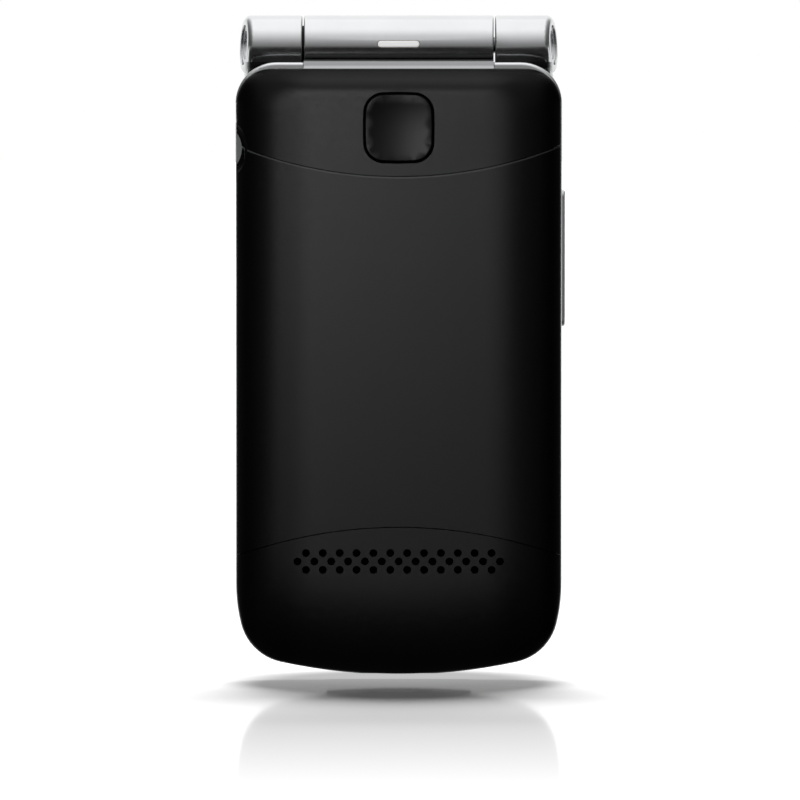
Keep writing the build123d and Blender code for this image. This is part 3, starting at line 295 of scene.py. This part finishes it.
def paint_shade_dark(finish, bare):
    """Paints shade: dark matt plastic in place of the metal coat where bare is 1."""
    plain = finish.shader.inputs["Base Color"].links[0].from_socket
    finish.put("Base Color", finish.mix(bare, plain, PAINTED_SHADE_BLACK))
    finish.put("Metallic", finish.sum("SUBTRACT", 1.0, bare))
    finish.put("Specular IOR Level", 0.1)


def knuckle_gap_shade(finish):
    """1 on the end faces of the barrel and the knuckles, which look at each other, where shade is
    painted.
    """
    across_x, depth, up = finish.axes(finish.at(HINGE_AXIS))
    beside = finish.off(finish.sum("ABSOLUTE", across_x), KNUCKLE_GAP * MM)
    return finish.product(finish.sum("LESS_THAN", beside, GAP_REACH * MM),
                          finish.sum("LESS_THAN", finish.reach(depth, up), END_RADIUS * MM))


def barrel_plastic(name, colour, roughness):
    """The satin coat of the lid's frame and barrel, with shade painted on the barrel's end faces.
    """
    finish = plated_plastic(name, colour, roughness)
    paint_shade_dark(finish, knuckle_gap_shade(finish))
    return finish


def framed_plastic(name, colour, roughness):
    """The satin coat of the mid frame, with dark shade painted where the barrel and the knuckles
    face it.
    """
    finish = plated_plastic(name, colour, roughness)
    across_x, depth, up = finish.axes(finish.place)
    side = finish.sum("ABSOLUTE", across_x)
    aside = finish.sum("GREATER_THAN", side, BARREL_HALF * MM)
    middle = finish.sum("SUBTRACT", 1.0, aside)
    # Painted shade on the ledges beside the knuckles and on the seat under the barrel, where bare
    # is 1
    ledge = finish.product(
        aside,
        finish.sum("GREATER_THAN", up, LEDGE_LOW * MM),
        finish.sum("LESS_THAN", up, LEDGE_HIGH * MM),
        finish.span(side, *mm(*LEDGE_SIDE), 1.0, 0.0),
        finish.sum("GREATER_THAN", depth, LEDGE_REAR * MM),
    )
    seat = finish.product(middle, finish.span(up, *mm(*SHOULDER_TOP)))
    bare = finish.sum("ADD", ledge, seat)
    # Shade under the barrel is painted on the shoulder's round as a grey coat.
    plain = finish.shader.inputs["Base Color"].links[0].from_socket
    thin = finish.product(middle, finish.span(up, *mm(*SHOULDER_ROUND)))
    finish.put("Base Color", finish.mix(thin, plain, SHOULDER_SHADE_GREY))
    # Shade is painted on the rear rim at the bottom of the nail notch, so that it shows dimly.
    notch = finish.product(
        finish.sum("LESS_THAN", finish.off(up, NOTCH_HEIGHT * MM), NOTCH_REACH * MM),
        finish.sum("LESS_THAN", across_x, NOTCH_SIDE * MM),
        finish.sum("LESS_THAN", depth, RIM_REAR * MM),
        0.7,
    )
    bare = finish.sum("MAXIMUM", bare, notch)
    paint_shade_dark(finish, finish.sum("MAXIMUM", bare, knuckle_gap_shade(finish)))
    return finish


def spun_metal(name, colour, roughness, centre):
    """Satin metal coat with fine rings round a point on the keypad."""
    finish = Finish(name, colour, roughness, 1.0)
    finish.uneven(0.03, 0.03, 6.0)
    across_x, _, up = finish.axes(finish.at(centre))
    rings = finish.nodes.new("ShaderNodeTexNoise")
    rings.noise_dimensions = "1D"
    finish.feed(rings, {"W": finish.reach(across_x, up), "Scale": RING_SCALE, "Detail": 1.0})
    finish.relief((rings.outputs["Fac"], 0.0003))
    return finish


def glossy_button(name):
    """Gloss on the pressed face; matt where the button's flange closes its opening."""
    gloss, matt = 0.24, 0.95
    finish = Finish(name, (0.002, 0.002, 0.0021), gloss, Specular_IOR_Level=0.13)
    finish.uneven(0.08, 0.03, 5.0)
    _, depth, _ = finish.axes(finish.place)
    finish.put("Roughness", finish.span(depth, *mm(BUTTON_FACE, BUTTON_FLANGE), gloss, matt))
    finish.relief((finish.grain(0.3, detail=2.0), 0.0006))
    return finish


def lens_window(name):
    """Clear acrylic with a black border printed behind it round the two views."""
    border = (0.004, 0.004, 0.0045)
    finish = Finish(name, border, 0.04, Specular_IOR_Level=0.35)
    across_x, through, up = finish.axes(finish.place)
    clear = []
    for centre, half_width, half_height, front in VIEWS:
        width = finish.span(finish.sum("ABSOLUTE", across_x),
                            *mm(half_width - VIEW_EDGE, half_width), 1.0, 0.0)
        height = finish.span(finish.off(up, centre * MM),
                             *mm(half_height - VIEW_EDGE, half_height), 1.0, 0.0)
        near = finish.sum("GREATER_THAN" if front else "LESS_THAN", through, LID_MIDDLE * MM)
        clear.append(finish.product(width, height, near))
    view = finish.sum("MAXIMUM", *clear)
    finish.put("Base Color", finish.mix(view, border, SILVER))
    finish.put("Transmission Weight", view)
    finish.put("Roughness", finish.span(finish.grain(6.0), 0.3, 0.7, 0.025, 0.06))
    finish.relief((finish.grain(9.0, detail=1.0), 0.004))
    return finish


def dark_display(name):
    """A liquid crystal panel that is switched off."""
    finish = Finish(name, (0.004, 0.005, 0.007), 0.18, Specular_IOR_Level=0.15)
    tint = finish.mix(finish.grain(30.0), (0.0042, 0.0052, 0.0075), (0.0058, 0.0072, 0.0105))
    finish.put("Base Color", tint)
    finish.put("Roughness", finish.span(finish.grain(3.0), 0.3, 0.7, 0.14, 0.22))
    return finish


def circuit_board(name):
    """Green solder mask over copper tracks, with bare pads."""
    finish = Finish(name, (0.008, 0.075, 0.035), 0.32)
    tracks = finish.cells(2.4, finish.at(stretch=(1, 1, 0.6)), "DISTANCE_TO_EDGE", 0.85)
    line = finish.span(tracks, 0.05, 0.09, 1.0, 0.0)
    mask = finish.mix(line, (0.006, 0.060, 0.028), (0.016, 0.115, 0.050))
    pads = finish.span(finish.cells(2.1, randomness=0.6), 0.12, 0.16, 1.0, 0.0)
    finish.put("Base Color", finish.mix(pads, mask, (0.72, 0.52, 0.22)))
    finish.put("Metallic", pads)
    finish.put("Roughness", finish.span(finish.grain(1.2), 0.3, 0.7, 0.28, 0.38))
    finish.relief((line, 0.012), (finish.grain(0.4), 0.003))
    return finish


def plain_moulding(name):
    return moulded_plastic(name, (0.035, 0.036, 0.038), 0.5, 0.2, 0.006)


def pressed_steel(name):
    """Cold rolled sheet: a dull metal with the marks of rolling."""
    finish = Finish(name, (0.56, 0.57, 0.58), 0.3, 1.0)
    finish.uneven(0.06, 0.05, 7.0)
    rolled = finish.at(stretch=(1, 1, 20))
    finish.relief((finish.grain(0.12, rolled, detail=4.0), 0.0012))
    return finish


def gold_plate(name):
    finish = Finish(name, (0.83, 0.60, 0.25), 0.22, 1.0)
    finish.uneven(0.08, 0.05, 1.5)
    finish.relief((finish.grain(0.15, detail=3.0), 0.001))
    return finish


def silicone(name, colour, roughness=0.65):
    finish = Finish(name, colour, roughness)
    finish.uneven(0.08, 0.06, 4.0)
    finish.relief((finish.grain(0.25, detail=4.0), 0.006))
    return finish


def battery_wrap(name):
    """A battery in a grey printed wrap, with the bare can at its two ends."""
    finish = Finish(name, (0.42, 0.43, 0.45), 0.35)
    _, _, up = finish.axes(finish.place)
    height = finish.off(up, BATTERY_MIDDLE * MM)
    can = finish.span(height, *mm(*WRAP_END))
    stripe = finish.span(finish.off(height, STRIPE_AT * MM), *mm(*STRIPE_HALF), 1.0, 0.0)
    wrap = finish.mix(stripe, (0.055, 0.058, 0.064), (0.50, 0.52, 0.55))
    finish.put("Base Color", finish.mix(can, wrap, (0.78, 0.79, 0.80)))
    finish.put("Metallic", can)
    crease = finish.grain(5.0, finish.at(stretch=(1, 1, 3)), detail=4.0)
    finish.put("Roughness", finish.span(crease, 0.3, 0.7, 0.28, 0.42))
    finish.relief((crease, 0.03), (finish.grain(0.2), 0.002))
    return finish


def card_stock(name):
    finish = Finish(name, (0.80, 0.80, 0.78), 0.4)
    finish.uneven(0.03, 0.05, 5.0)
    finish.relief((finish.grain(0.3, detail=2.0), 0.002))
    return finish


def amber_film(name):
    """Polyimide film with copper conductors running along it."""
    finish = Finish(name, (0.42, 0.17, 0.03), 0.28)
    lines = finish.span(finish.stripes(0.7), 0.45, 0.55)
    finish.put("Base Color", finish.mix(lines, (0.30, 0.12, 0.02), (0.52, 0.25, 0.07)))
    finish.put("Roughness", finish.span(finish.grain(2.0), 0.3, 0.7, 0.22, 0.34))
    finish.relief((lines, 0.01), (finish.grain(1.5), 0.004))
    return finish


def frosted_light(name):
    """Milky acrylic that spreads light, with a faint glow painted in as if a lamp lay behind it."""
    finish = Finish(name, (0.93, 0.93, 0.92), 0.22, Subsurface_Weight=0.25,
                    Emission_Strength=0.3)
    finish.shader.inputs["Subsurface Radius"].default_value = (0.0008, 0.0008, 0.0008)
    finish.uneven(0.02, 0.04, 1.5)
    finish.relief((finish.grain(0.3, detail=2.0), 0.001))
    return finish


def key_print(name, colour):
    """Screen-printed ink: matt, a little uneven, with a thicker edge."""
    finish = Finish(name, colour, 0.45)
    finish.uneven(0.05, 0.06, 1.2)
    finish.relief((finish.grain(0.08, detail=2.0), 0.002))
    return finish


FINISHES = {
    "black_shell": shell_plastic("black_shell", SHELL_BLACK, SHELL_ROUGHNESS, SHELL_GLOSS),
    "silver_frame": barrel_plastic("silver_frame", SILVER, 0.2),
    "black_plate": moulded_plastic("black_plate", (0.012, 0.012, 0.013), 0.3, 0.2, 0.002),
    "key_black": moulded_plastic("key_black", (0.018, 0.018, 0.019), 0.42, 0.09, 0.004),
    "nav_silver": spun_metal("nav_silver", (0.72, 0.73, 0.74), 0.26, NAV_CENTRE),
    "button_black": glossy_button("button_black"),
    "silver_button": plated_plastic("silver_button", (0.78, 0.79, 0.80), 0.24, "Z"),
    "window": lens_window("window"),
    "display": dark_display("display"),
    "board": circuit_board("board"),
    "moulding": plain_moulding("moulding"),
    "steel": pressed_steel("steel"),
    "gold_contact": gold_plate("gold_contact"),
    "soft_rubber": silicone("soft_rubber", (0.022, 0.022, 0.023), 0.7),
    "membrane_rubber": silicone("membrane_rubber", (0.34, 0.35, 0.36), 0.6),
    "battery_can": battery_wrap("battery_can"),
    "card": card_stock("card"),
    "film": amber_film("film"),
    "light": frosted_light("light"),
}
MID_FRAME = framed_plastic("mid_frame_silver", SILVER, 0.2)
VOLUME_ROCKER = plated_plastic("rocker_silver", (0.86, 0.87, 0.88), 0.45, "Z")
BATTERY_COVER = shell_plastic("battery_cover_black", SHELL_BLACK, SHELL_ROUGHNESS, SHELL_GLOSS,
                              seam=COVER_SEAM)
# Painted black, so that the holes of the grille in front of it are dark.
SPEAKER_MESH = silicone("speaker_mesh_black", (0.004, 0.004, 0.004), 0.9)
SPEAKER_MESH.put("Specular IOR Level", 0.1)
WHITE_PRINT = key_print("white_print", (0.82, 0.82, 0.80)).material
GREEN_PRINT = key_print("green_print", (0.05, 0.55, 0.12)).material
RED_PRINT = key_print("red_print", (0.70, 0.04, 0.03)).material
BLACK_PRINT = key_print("black_print", (0.02, 0.02, 0.021)).material

for row in frame["record"]["subparts"]:
    mesh = nodes[row["node"]].data
    mesh.materials.clear()
    mesh.materials.append(FINISHES[row["material_slot"]].material)

for name, finish in (
    ("battery_cover", BATTERY_COVER),
    ("mid_frame", MID_FRAME),
    ("volume_rocker", VOLUME_ROCKER),
    ("speaker_mesh", SPEAKER_MESH),
):
    nodes[name].data.materials[0] = finish.material

# The CAD meshes are loose triangles: they are shaded smooth, and split again at real edges.
WELD_REACH, REAL_EDGE = 0.002 * MM, math.radians(34)
for node in nodes.values():
    node.data.polygons.foreach_set("use_smooth", [True] * len(node.data.polygons))
    weld = node.modifiers.new("weld", "WELD")
    weld.merge_threshold = WELD_REACH
    split = node.modifiers.new("edges", "EDGE_SPLIT")
    split.split_angle = REAL_EDGE


# ---------------------------------------------------------------- printed and added pieces
def piece(name, mesh, material, body):
    """Puts a finished mesh in the scene, riding on one of the CAD's bodies."""
    made = bpy.data.objects.new(name, mesh)
    bpy.context.scene.collection.objects.link(made)
    mesh.materials.clear()
    mesh.materials.append(material)
    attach(made, body)


def to_mesh(name, shape):
    """Turns a bmesh into a mesh with its faces pointing out."""
    bmesh.ops.remove_doubles(shape, verts=shape.verts, dist=1e-7)
    bmesh.ops.recalc_face_normals(shape, faces=shape.faces)
    mesh = bpy.data.meshes.new(name)
    shape.to_mesh(mesh)
    shape.free()
    return mesh


# Whoever reads the keys faces -Y, so a mark's right goes to -X.
READING = Matrix(((-1, 0, 0, 0), (0, 0, 1, 0), (0, 1, 0, 0), (0, 0, 0, 1)))
INK = 0.02 * MM


def on_keys(x, z, front):
    """Takes a mark drawn flat, in mm, to its place on a key's front face."""
    return Matrix.Translation((x * MM, front + INK / 2, z * MM)) @ READING


def lettering(text, height):
    """Letters as a thin flat mesh round their middle. The height is that of the digit 0."""
    meshes = []
    for words in ("0", text):
        curve = bpy.data.curves.new("letters", "FONT")
        curve.body, curve.resolution_u = words, 6
        curve.align_x, curve.align_y = "CENTER", "CENTER"
        curve.extrude = 0.0015
        carrier = bpy.data.objects.new("letters", curve)
        meshes.append(bpy.data.meshes.new_from_object(carrier))
        bpy.data.objects.remove(carrier)
    reach = [v.co.y for v in meshes[0].vertices]
    scale = height * MM / (max(reach) - min(reach))
    mesh = meshes[1]
    low = [min(v.co[i] for v in mesh.vertices) for i in range(3)]
    high = [max(v.co[i] for v in mesh.vertices) for i in range(3)]
    middle = Vector([-(a + b) / 2 for a, b in zip(low, high)])
    mesh.transform(Matrix.Diagonal((scale, scale, scale, 1)) @ Matrix.Translation(middle))
    return mesh


def thicken(shape):
    """Gives a flat mark in the XY plane its thickness of ink."""
    raised = bmesh.ops.extrude_face_region(shape, geom=shape.faces[:])
    verts = [g for g in raised["geom"] if isinstance(g, bmesh.types.BMVert)]
    bmesh.ops.translate(shape, verts=verts, vec=(0, 0, INK))
    bmesh.ops.translate(shape, verts=shape.verts, vec=(0, 0, -INK / 2))


def bar_mark(width, height, corner):
    """A small bar with rounded ends, in mm."""
    shape = bmesh.new()
    bmesh.ops.create_grid(shape, x_segments=1, y_segments=1, size=0.5)
    bmesh.ops.scale(shape, verts=shape.verts, vec=(width * MM, height * MM, 1))
    bmesh.ops.bevel(shape, geom=shape.verts[:], offset=corner * MM, segments=5, profile=0.5,
                    affect="VERTICES", material=-1)
    thicken(shape)
    return shape


def handset_mark(turn):
    """A telephone handset: a bowed grip between two cups, turned by some degrees."""
    shape = bmesh.new()
    sweep, grip = math.radians(124), math.radians(34)
    cup_foot, grip_foot, back = mm(1.7, 2.6, 3.7)
    ends = [shape.verts.new((0, radius, 0)) for radius in (cup_foot, grip_foot, back)]
    edges = [shape.edges.new(pair) for pair in zip(ends, ends[1:])]
    bmesh.ops.rotate(shape, verts=ends, cent=(0, 0, 0), matrix=Matrix.Rotation(-sweep / 2, 3, "Z"))
    bmesh.ops.spin(shape, geom=edges + ends, cent=(0, 0, 0), axis=(0, 0, 1), angle=sweep,
                   steps=31, use_duplicate=False)
    under_grip = []
    for face in shape.faces:
        middle = face.calc_center_median()
        if middle.length < grip_foot and abs(math.atan2(middle.x, middle.y)) < grip:
            under_grip.append(face)
    bmesh.ops.delete(shape, geom=under_grip, context="FACES")
    corners = [v for v in shape.verts if len(v.link_edges) == 2]
    bmesh.ops.bevel(shape, geom=corners, offset=0.12 * MM, segments=3, profile=0.5,
                    affect="VERTICES", material=-1)
    thicken(shape)
    bmesh.ops.translate(shape, verts=shape.verts, vec=(0, -2.2 * MM, 0))
    bmesh.ops.rotate(shape, verts=shape.verts, cent=(0, 0, 0),
                     matrix=Matrix.Rotation(math.radians(turn), 3, "Z"))
    return shape


def arrow_mark(turn):
    """A small triangle with rounded corners, pointing up when the turn is 0 degrees."""
    shape = bmesh.new()
    bmesh.ops.create_circle(shape, cap_ends=True, segments=3, radius=1.35 * MM)
    bmesh.ops.scale(shape, verts=shape.verts, vec=(1.0, 0.8, 1.0))
    bmesh.ops.bevel(shape, geom=shape.verts[:], offset=0.25 * MM, segments=4, profile=0.5,
                    affect="VERTICES", material=-1)
    thicken(shape)
    bmesh.ops.rotate(shape, verts=shape.verts, cent=(0, 0, 0),
                     matrix=Matrix.Rotation(math.radians(turn), 3, "Z"))
    return shape


def key_middle(node):
    low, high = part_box(node)
    return (low.x + high.x) / 2 / MM, (low.z + high.z) / 2 / MM, high.y


LETTERS = {
    "key_2": "abc", "key_3": "def", "key_4": "ghi", "key_5": "jkl",
    "key_6": "mno", "key_7": "pqrs", "key_8": "tuv", "key_9": "wxyz",
}
# Heights of the print, and how far from the middle of its key a mark sits, all in mm
DIGIT_HEIGHT, LETTER_HEIGHT = 5.2, 2.1
DIGIT_ASIDE, LETTERS_ASIDE, LETTERS_RISE, ARROW_RISE = 2.9, -2.4, -0.5, 10.2
# Width, height and corner radius of the bar on a soft key, in mm
SOFT_KEY_BAR = (4.4, 0.8, 0.38)
for key in [f"key_{digit}" for digit in range(10)] + ["key_star", "key_hash"]:
    x, z, front = key_middle(key)
    name = key.removeprefix("key_")
    sign = {"star": "*", "hash": "#"}.get(name, name)
    letters = LETTERS.get(key)
    mark = lettering(sign, DIGIT_HEIGHT)
    mark.transform(on_keys(x + (DIGIT_ASIDE if letters else 0), z, front))
    piece(f"digit_{name}", mark, WHITE_PRINT, key)
    if letters:
        mark = lettering(letters, LETTER_HEIGHT)
        mark.transform(on_keys(x + LETTERS_ASIDE, z + LETTERS_RISE, front))
        piece(f"letters_{name}", mark, WHITE_PRINT, key)


def print_on(key, name, shape, ink, rise=0.0):
    """Puts a flat mark on the middle of a key, or rise mm above it."""
    x, z, front = key_middle(key)
    mark = to_mesh(name, shape)
    mark.transform(on_keys(x, z + rise, front))
    piece(name, mark, ink, key)


print_on("call_key", "call_key_mark", handset_mark(38), GREEN_PRINT)
print_on("end_key", "end_key_mark", handset_mark(0), RED_PRINT)
for key in ("soft_key_left", "soft_key_right"):
    print_on(key, f"{key}_mark", bar_mark(*SOFT_KEY_BAR), WHITE_PRINT)
print_on("nav_rocker", "nav_up_mark", arrow_mark(0), BLACK_PRINT, ARROW_RISE)
print_on("nav_rocker", "nav_down_mark", arrow_mark(180), BLACK_PRINT, -ARROW_RISE)


# ---------------------------------------------------------------- studio
def lamp(name, kind, energy, place, aim, **settings):
    """A lamp that shows in no reflection: what metal and gloss reflect is the studio round them."""
    data = bpy.data.lights.new(name, kind)
    data.energy = energy
    for setting, value in settings.items():
        setattr(data, setting, value)
    light = bpy.data.objects.new(name, data)
    bpy.context.scene.collection.objects.link(light)
    light.location = place
    light.rotation_euler = (Vector(aim) - Vector(place)).to_track_quat("-Z", "Y").to_euler()
    light.visible_glossy = False
    return light


PHONE_MIDDLE = (0.0, 0.0, 0.05)
lamp("overhead", "SUN", energy=5.6, place=(0.0, 0.80, 1.12), aim=PHONE_MIDDLE,
     angle=math.radians(32))
key_lamp = lamp("key", "AREA", energy=2.6, place=(-0.30, -0.52, 0.42), aim=PHONE_MIDDLE,
                shape="DISK", size=0.35)
phone = bpy.data.collections.new("phone")
for made in [*nodes.values(), *bpy.context.scene.collection.objects]:
    if made.type == "MESH" and made.name not in phone.objects:
        phone.objects.link(made)
key_lamp.light_linking.receiver_collection = phone

# The softbox near the phone, whose reflection is the sheen of the black plastic.
rear_softbox = lamp("rear_softbox", "AREA", energy=0.20, place=(-0.055, -0.34, 0.105),
                    aim=(0.0, 0.0, 0.07), shape="RECTANGLE", size=0.09, size_y=0.09)
rear_softbox.visible_glossy = True
rear_softbox.visible_diffuse = False
sheen = bpy.data.collections.new("black_plastic")
for name in ("rear_housing", "battery_cover", "assist_button", "lid_shell"):
    sheen.objects.link(nodes[name])
rear_softbox.light_linking.receiver_collection = sheen

world = bpy.data.worlds.new("studio")
bpy.context.scene.world = world
world.use_nodes = True
tree = world.node_tree
tree.nodes.clear()


def world_node(kind, operation=None, **inputs):
    """A world node. Inputs are i0, i1 and so on, or names with underscores for spaces."""
    node = tree.nodes.new(kind)
    if operation:
        node.operation = operation
    for key, value in inputs.items():
        socket = node.inputs[int(key[1:]) if key[1:].isdigit() else key.replace("_", " ")]
        if isinstance(value, bpy.types.NodeSocket):
            tree.links.new(value, socket)
        else:
            socket.default_value = value
    return node


# The ceiling's level at the horizon, what it gains towards the zenith, and how late it does so
HORIZON, ZENITH_GAIN, CEILING_BEND = 0.22, 0.9, 1.3
# How much of the studio matt surfaces get. Reflections get all of it.
MATT_SHARE = 0.16

direction = world_node("ShaderNodeSeparateXYZ",
                       i0=world_node("ShaderNodeTexCoord").outputs["Generated"]).outputs
rise = world_node("ShaderNodeMapRange", Value=direction["Z"], From_Min=0.0, From_Max=0.9,
                  To_Min=0.0, To_Max=1.0).outputs[0]
ceiling = world_node("ShaderNodeMath", "POWER", i0=rise, i1=CEILING_BEND).outputs[0]
ceiling = world_node("ShaderNodeMath", "MULTIPLY_ADD", i0=ceiling, i1=ZENITH_GAIN,
                     i2=HORIZON).outputs[0]
side = world_node("ShaderNodeMath", "ABSOLUTE", i0=direction["X"]).outputs[0]
aside = world_node("ShaderNodeMapRange", Value=side, From_Min=0.2, From_Max=0.8,
                   To_Min=1.0, To_Max=0.25).outputs[0]
ceiling = world_node("ShaderNodeMath", "MULTIPLY", i0=ceiling, i1=aside).outputs[0]
# The backdrop side is white down to the floor
backdrop = world_node("ShaderNodeMapRange", Value=direction["Y"], From_Min=-0.1, From_Max=0.55,
                      To_Min=0.0, To_Max=1.0).outputs[0]
wings = world_node("ShaderNodeMapRange", Value=side, From_Min=0.35, From_Max=0.65,
                   To_Min=1.0, To_Max=0.08).outputs[0]
backdrop = world_node("ShaderNodeMath", "MULTIPLY", i0=backdrop, i1=wings).outputs[0]
glow = world_node("ShaderNodeMath", "MAXIMUM", i0=ceiling, i1=backdrop).outputs[0]
rays = world_node("ShaderNodeLightPath").outputs
seen = world_node("ShaderNodeMath", "MAXIMUM", i0=rays["Is Camera Ray"],
                  i1=rays["Is Transmission Ray"]).outputs[0]
studio_level = world_node("ShaderNodeMath", "MULTIPLY_ADD", i0=rays["Is Glossy Ray"],
                          i1=1 - MATT_SHARE, i2=MATT_SHARE).outputs[0]
studio = world_node("ShaderNodeMath", "MULTIPLY", i0=studio_level, i1=glow).outputs[0]
level = world_node("ShaderNodeMix", i0=seen, i2=studio, i3=1.0).outputs[0]
background = world_node("ShaderNodeBackground", Color=(1, 1, 1, 1), Strength=level)
tree.links.new(background.outputs[0], world_node("ShaderNodeOutputWorld").inputs[0])


# The floor lies a little under the foot, so that the mirror image starts below the phone.
FLOOR_DROP = 1.45 * MM
FLOOR_WHITE = (0.9, 0.9, 0.9)
# How strongly the floor mirrors at the phone, and how far away that has died out, in m
SHINE, SHINE_END = 0.68, 0.45
# The shadow painted under the phone: its middle in mm, half its width and depth in m, and its
# colour
PATCH_MIDDLE, PATCH_REACH, PAINTED_SHADOW_GREY = (0, 4, 0), (0.0175, 0.022), (0.12, 0.12, 0.12)


def studio_floor():
    """White where the camera looks, with a shadow painted under the phone and a soft gloss near it
    that fades with distance.
    """
    shape = bmesh.new()
    bmesh.ops.create_grid(shape, x_segments=8, y_segments=8, size=4.0)
    bmesh.ops.translate(shape, verts=shape.verts, vec=(0, 0, -FLOOR_DROP))
    mesh = bpy.data.meshes.new("floor")
    shape.to_mesh(mesh)
    shape.free()
    floor = bpy.data.objects.new("floor", mesh)
    bpy.context.scene.collection.objects.link(floor)
    finish = Finish("floor", FLOOR_WHITE, 0.9)
    tree_nodes, links = finish.nodes, finish.links
    across_x, depth, _ = finish.axes(finish.place)
    distance = finish.reach(across_x, depth)
    near_x, near_y, _ = finish.axes(finish.at(stretch=(2, 1, 1)))
    near = finish.reach(near_x, near_y)
    shine = finish.span(distance, 0.0, SHINE_END, SHINE, 0.0, soft=False)
    share = finish.sum("MAXIMUM", finish.span(near, *mm(45, 115), 0.28, 1.0),
                       finish.span(depth, *mm(-45, 30), 0.0, 0.2))
    shine = finish.product(shine, share)
    # A soft shadow painted under the phone, with light painted in again towards its back.
    patch_x, patch_y, _ = finish.axes(finish.at(PATCH_MIDDLE, stretch=(*PATCH_REACH, 1)))
    patch = finish.reach(patch_x, patch_y)
    shade = finish.mix(finish.span(patch, 0.9, 1.9), PAINTED_SHADOW_GREY, FLOOR_WHITE)
    paper = finish.feed(tree_nodes.new("ShaderNodeBsdfDiffuse"), {0: shade})
    painted_light_lift = finish.feed(tree_nodes.new("ShaderNodeEmission"),
                       {1: finish.span(depth, *mm(-30, 12.5), 0.03, 0.25, soft=False)})
    white = tree_nodes.new("ShaderNodeAddShader")
    links.new(paper.outputs[0], white.inputs[0])
    links.new(painted_light_lift.outputs[0], white.inputs[1])
    gloss = finish.feed(tree_nodes.new("ShaderNodeBsdfGlossy"),
                        {"Color": (1, 1, 1, 1), "Roughness": 0.06})
    polished = tree_nodes.new("ShaderNodeMixShader")
    links.new(shine, polished.inputs[0])
    links.new(white.outputs[0], polished.inputs[1])
    links.new(gloss.outputs[0], polished.inputs[2])
    # For other rays the floor is dark in front of the phone and white behind it: shade painted into
    # what the phone reflects.
    behind = finish.span(depth, *mm(-20, 80), 0.0, 0.85)
    far = finish.span(distance, 0.45, 1.6, 0.02, 0.24)
    level = finish.sum("MAXIMUM", behind, far)
    dark = finish.feed(tree_nodes.new("ShaderNodeEmission"), {1: level})
    path = tree_nodes.new("ShaderNodeLightPath").outputs
    shown = finish.sum("MAXIMUM", path["Is Camera Ray"], path["Is Transmission Ray"])
    final = tree_nodes.new("ShaderNodeMixShader")
    links.new(shown, final.inputs[0])
    links.new(dark.outputs[0], final.inputs[1])
    links.new(polished.outputs[0], final.inputs[2])
    links.new(final.outputs[0], tree_nodes["Material Output"].inputs[0])
    mesh.materials.append(finish.material)


studio_floor()

# ---------------------------------------------------------------- camera
TARGET = Vector((0.19, 0.0, 41.45)) * MM
CAMERA_DISTANCE, CAMERA_RISE = 2.4, math.radians(2.0)
FOCAL_LENGTH, SENSOR_WIDTH, NEAREST, FARTHEST = 709.0, 36.0, 0.01, 50.0
camera_data = bpy.data.cameras.new("camera")
camera_data.lens, camera_data.sensor_width = FOCAL_LENGTH, SENSOR_WIDTH
camera_data.clip_start, camera_data.clip_end = NEAREST, FARTHEST
camera = bpy.data.objects.new("camera", camera_data)
bpy.context.scene.collection.objects.link(camera)
back = Vector((0.0, -math.cos(CAMERA_RISE), math.sin(CAMERA_RISE)))
camera.location = TARGET + back * CAMERA_DISTANCE
camera.rotation_euler = (-back).to_track_quat("-Z", "Y").to_euler()
bpy.context.scene.camera = camera
bpy.context.scene.view_settings.view_transform = "Standard"
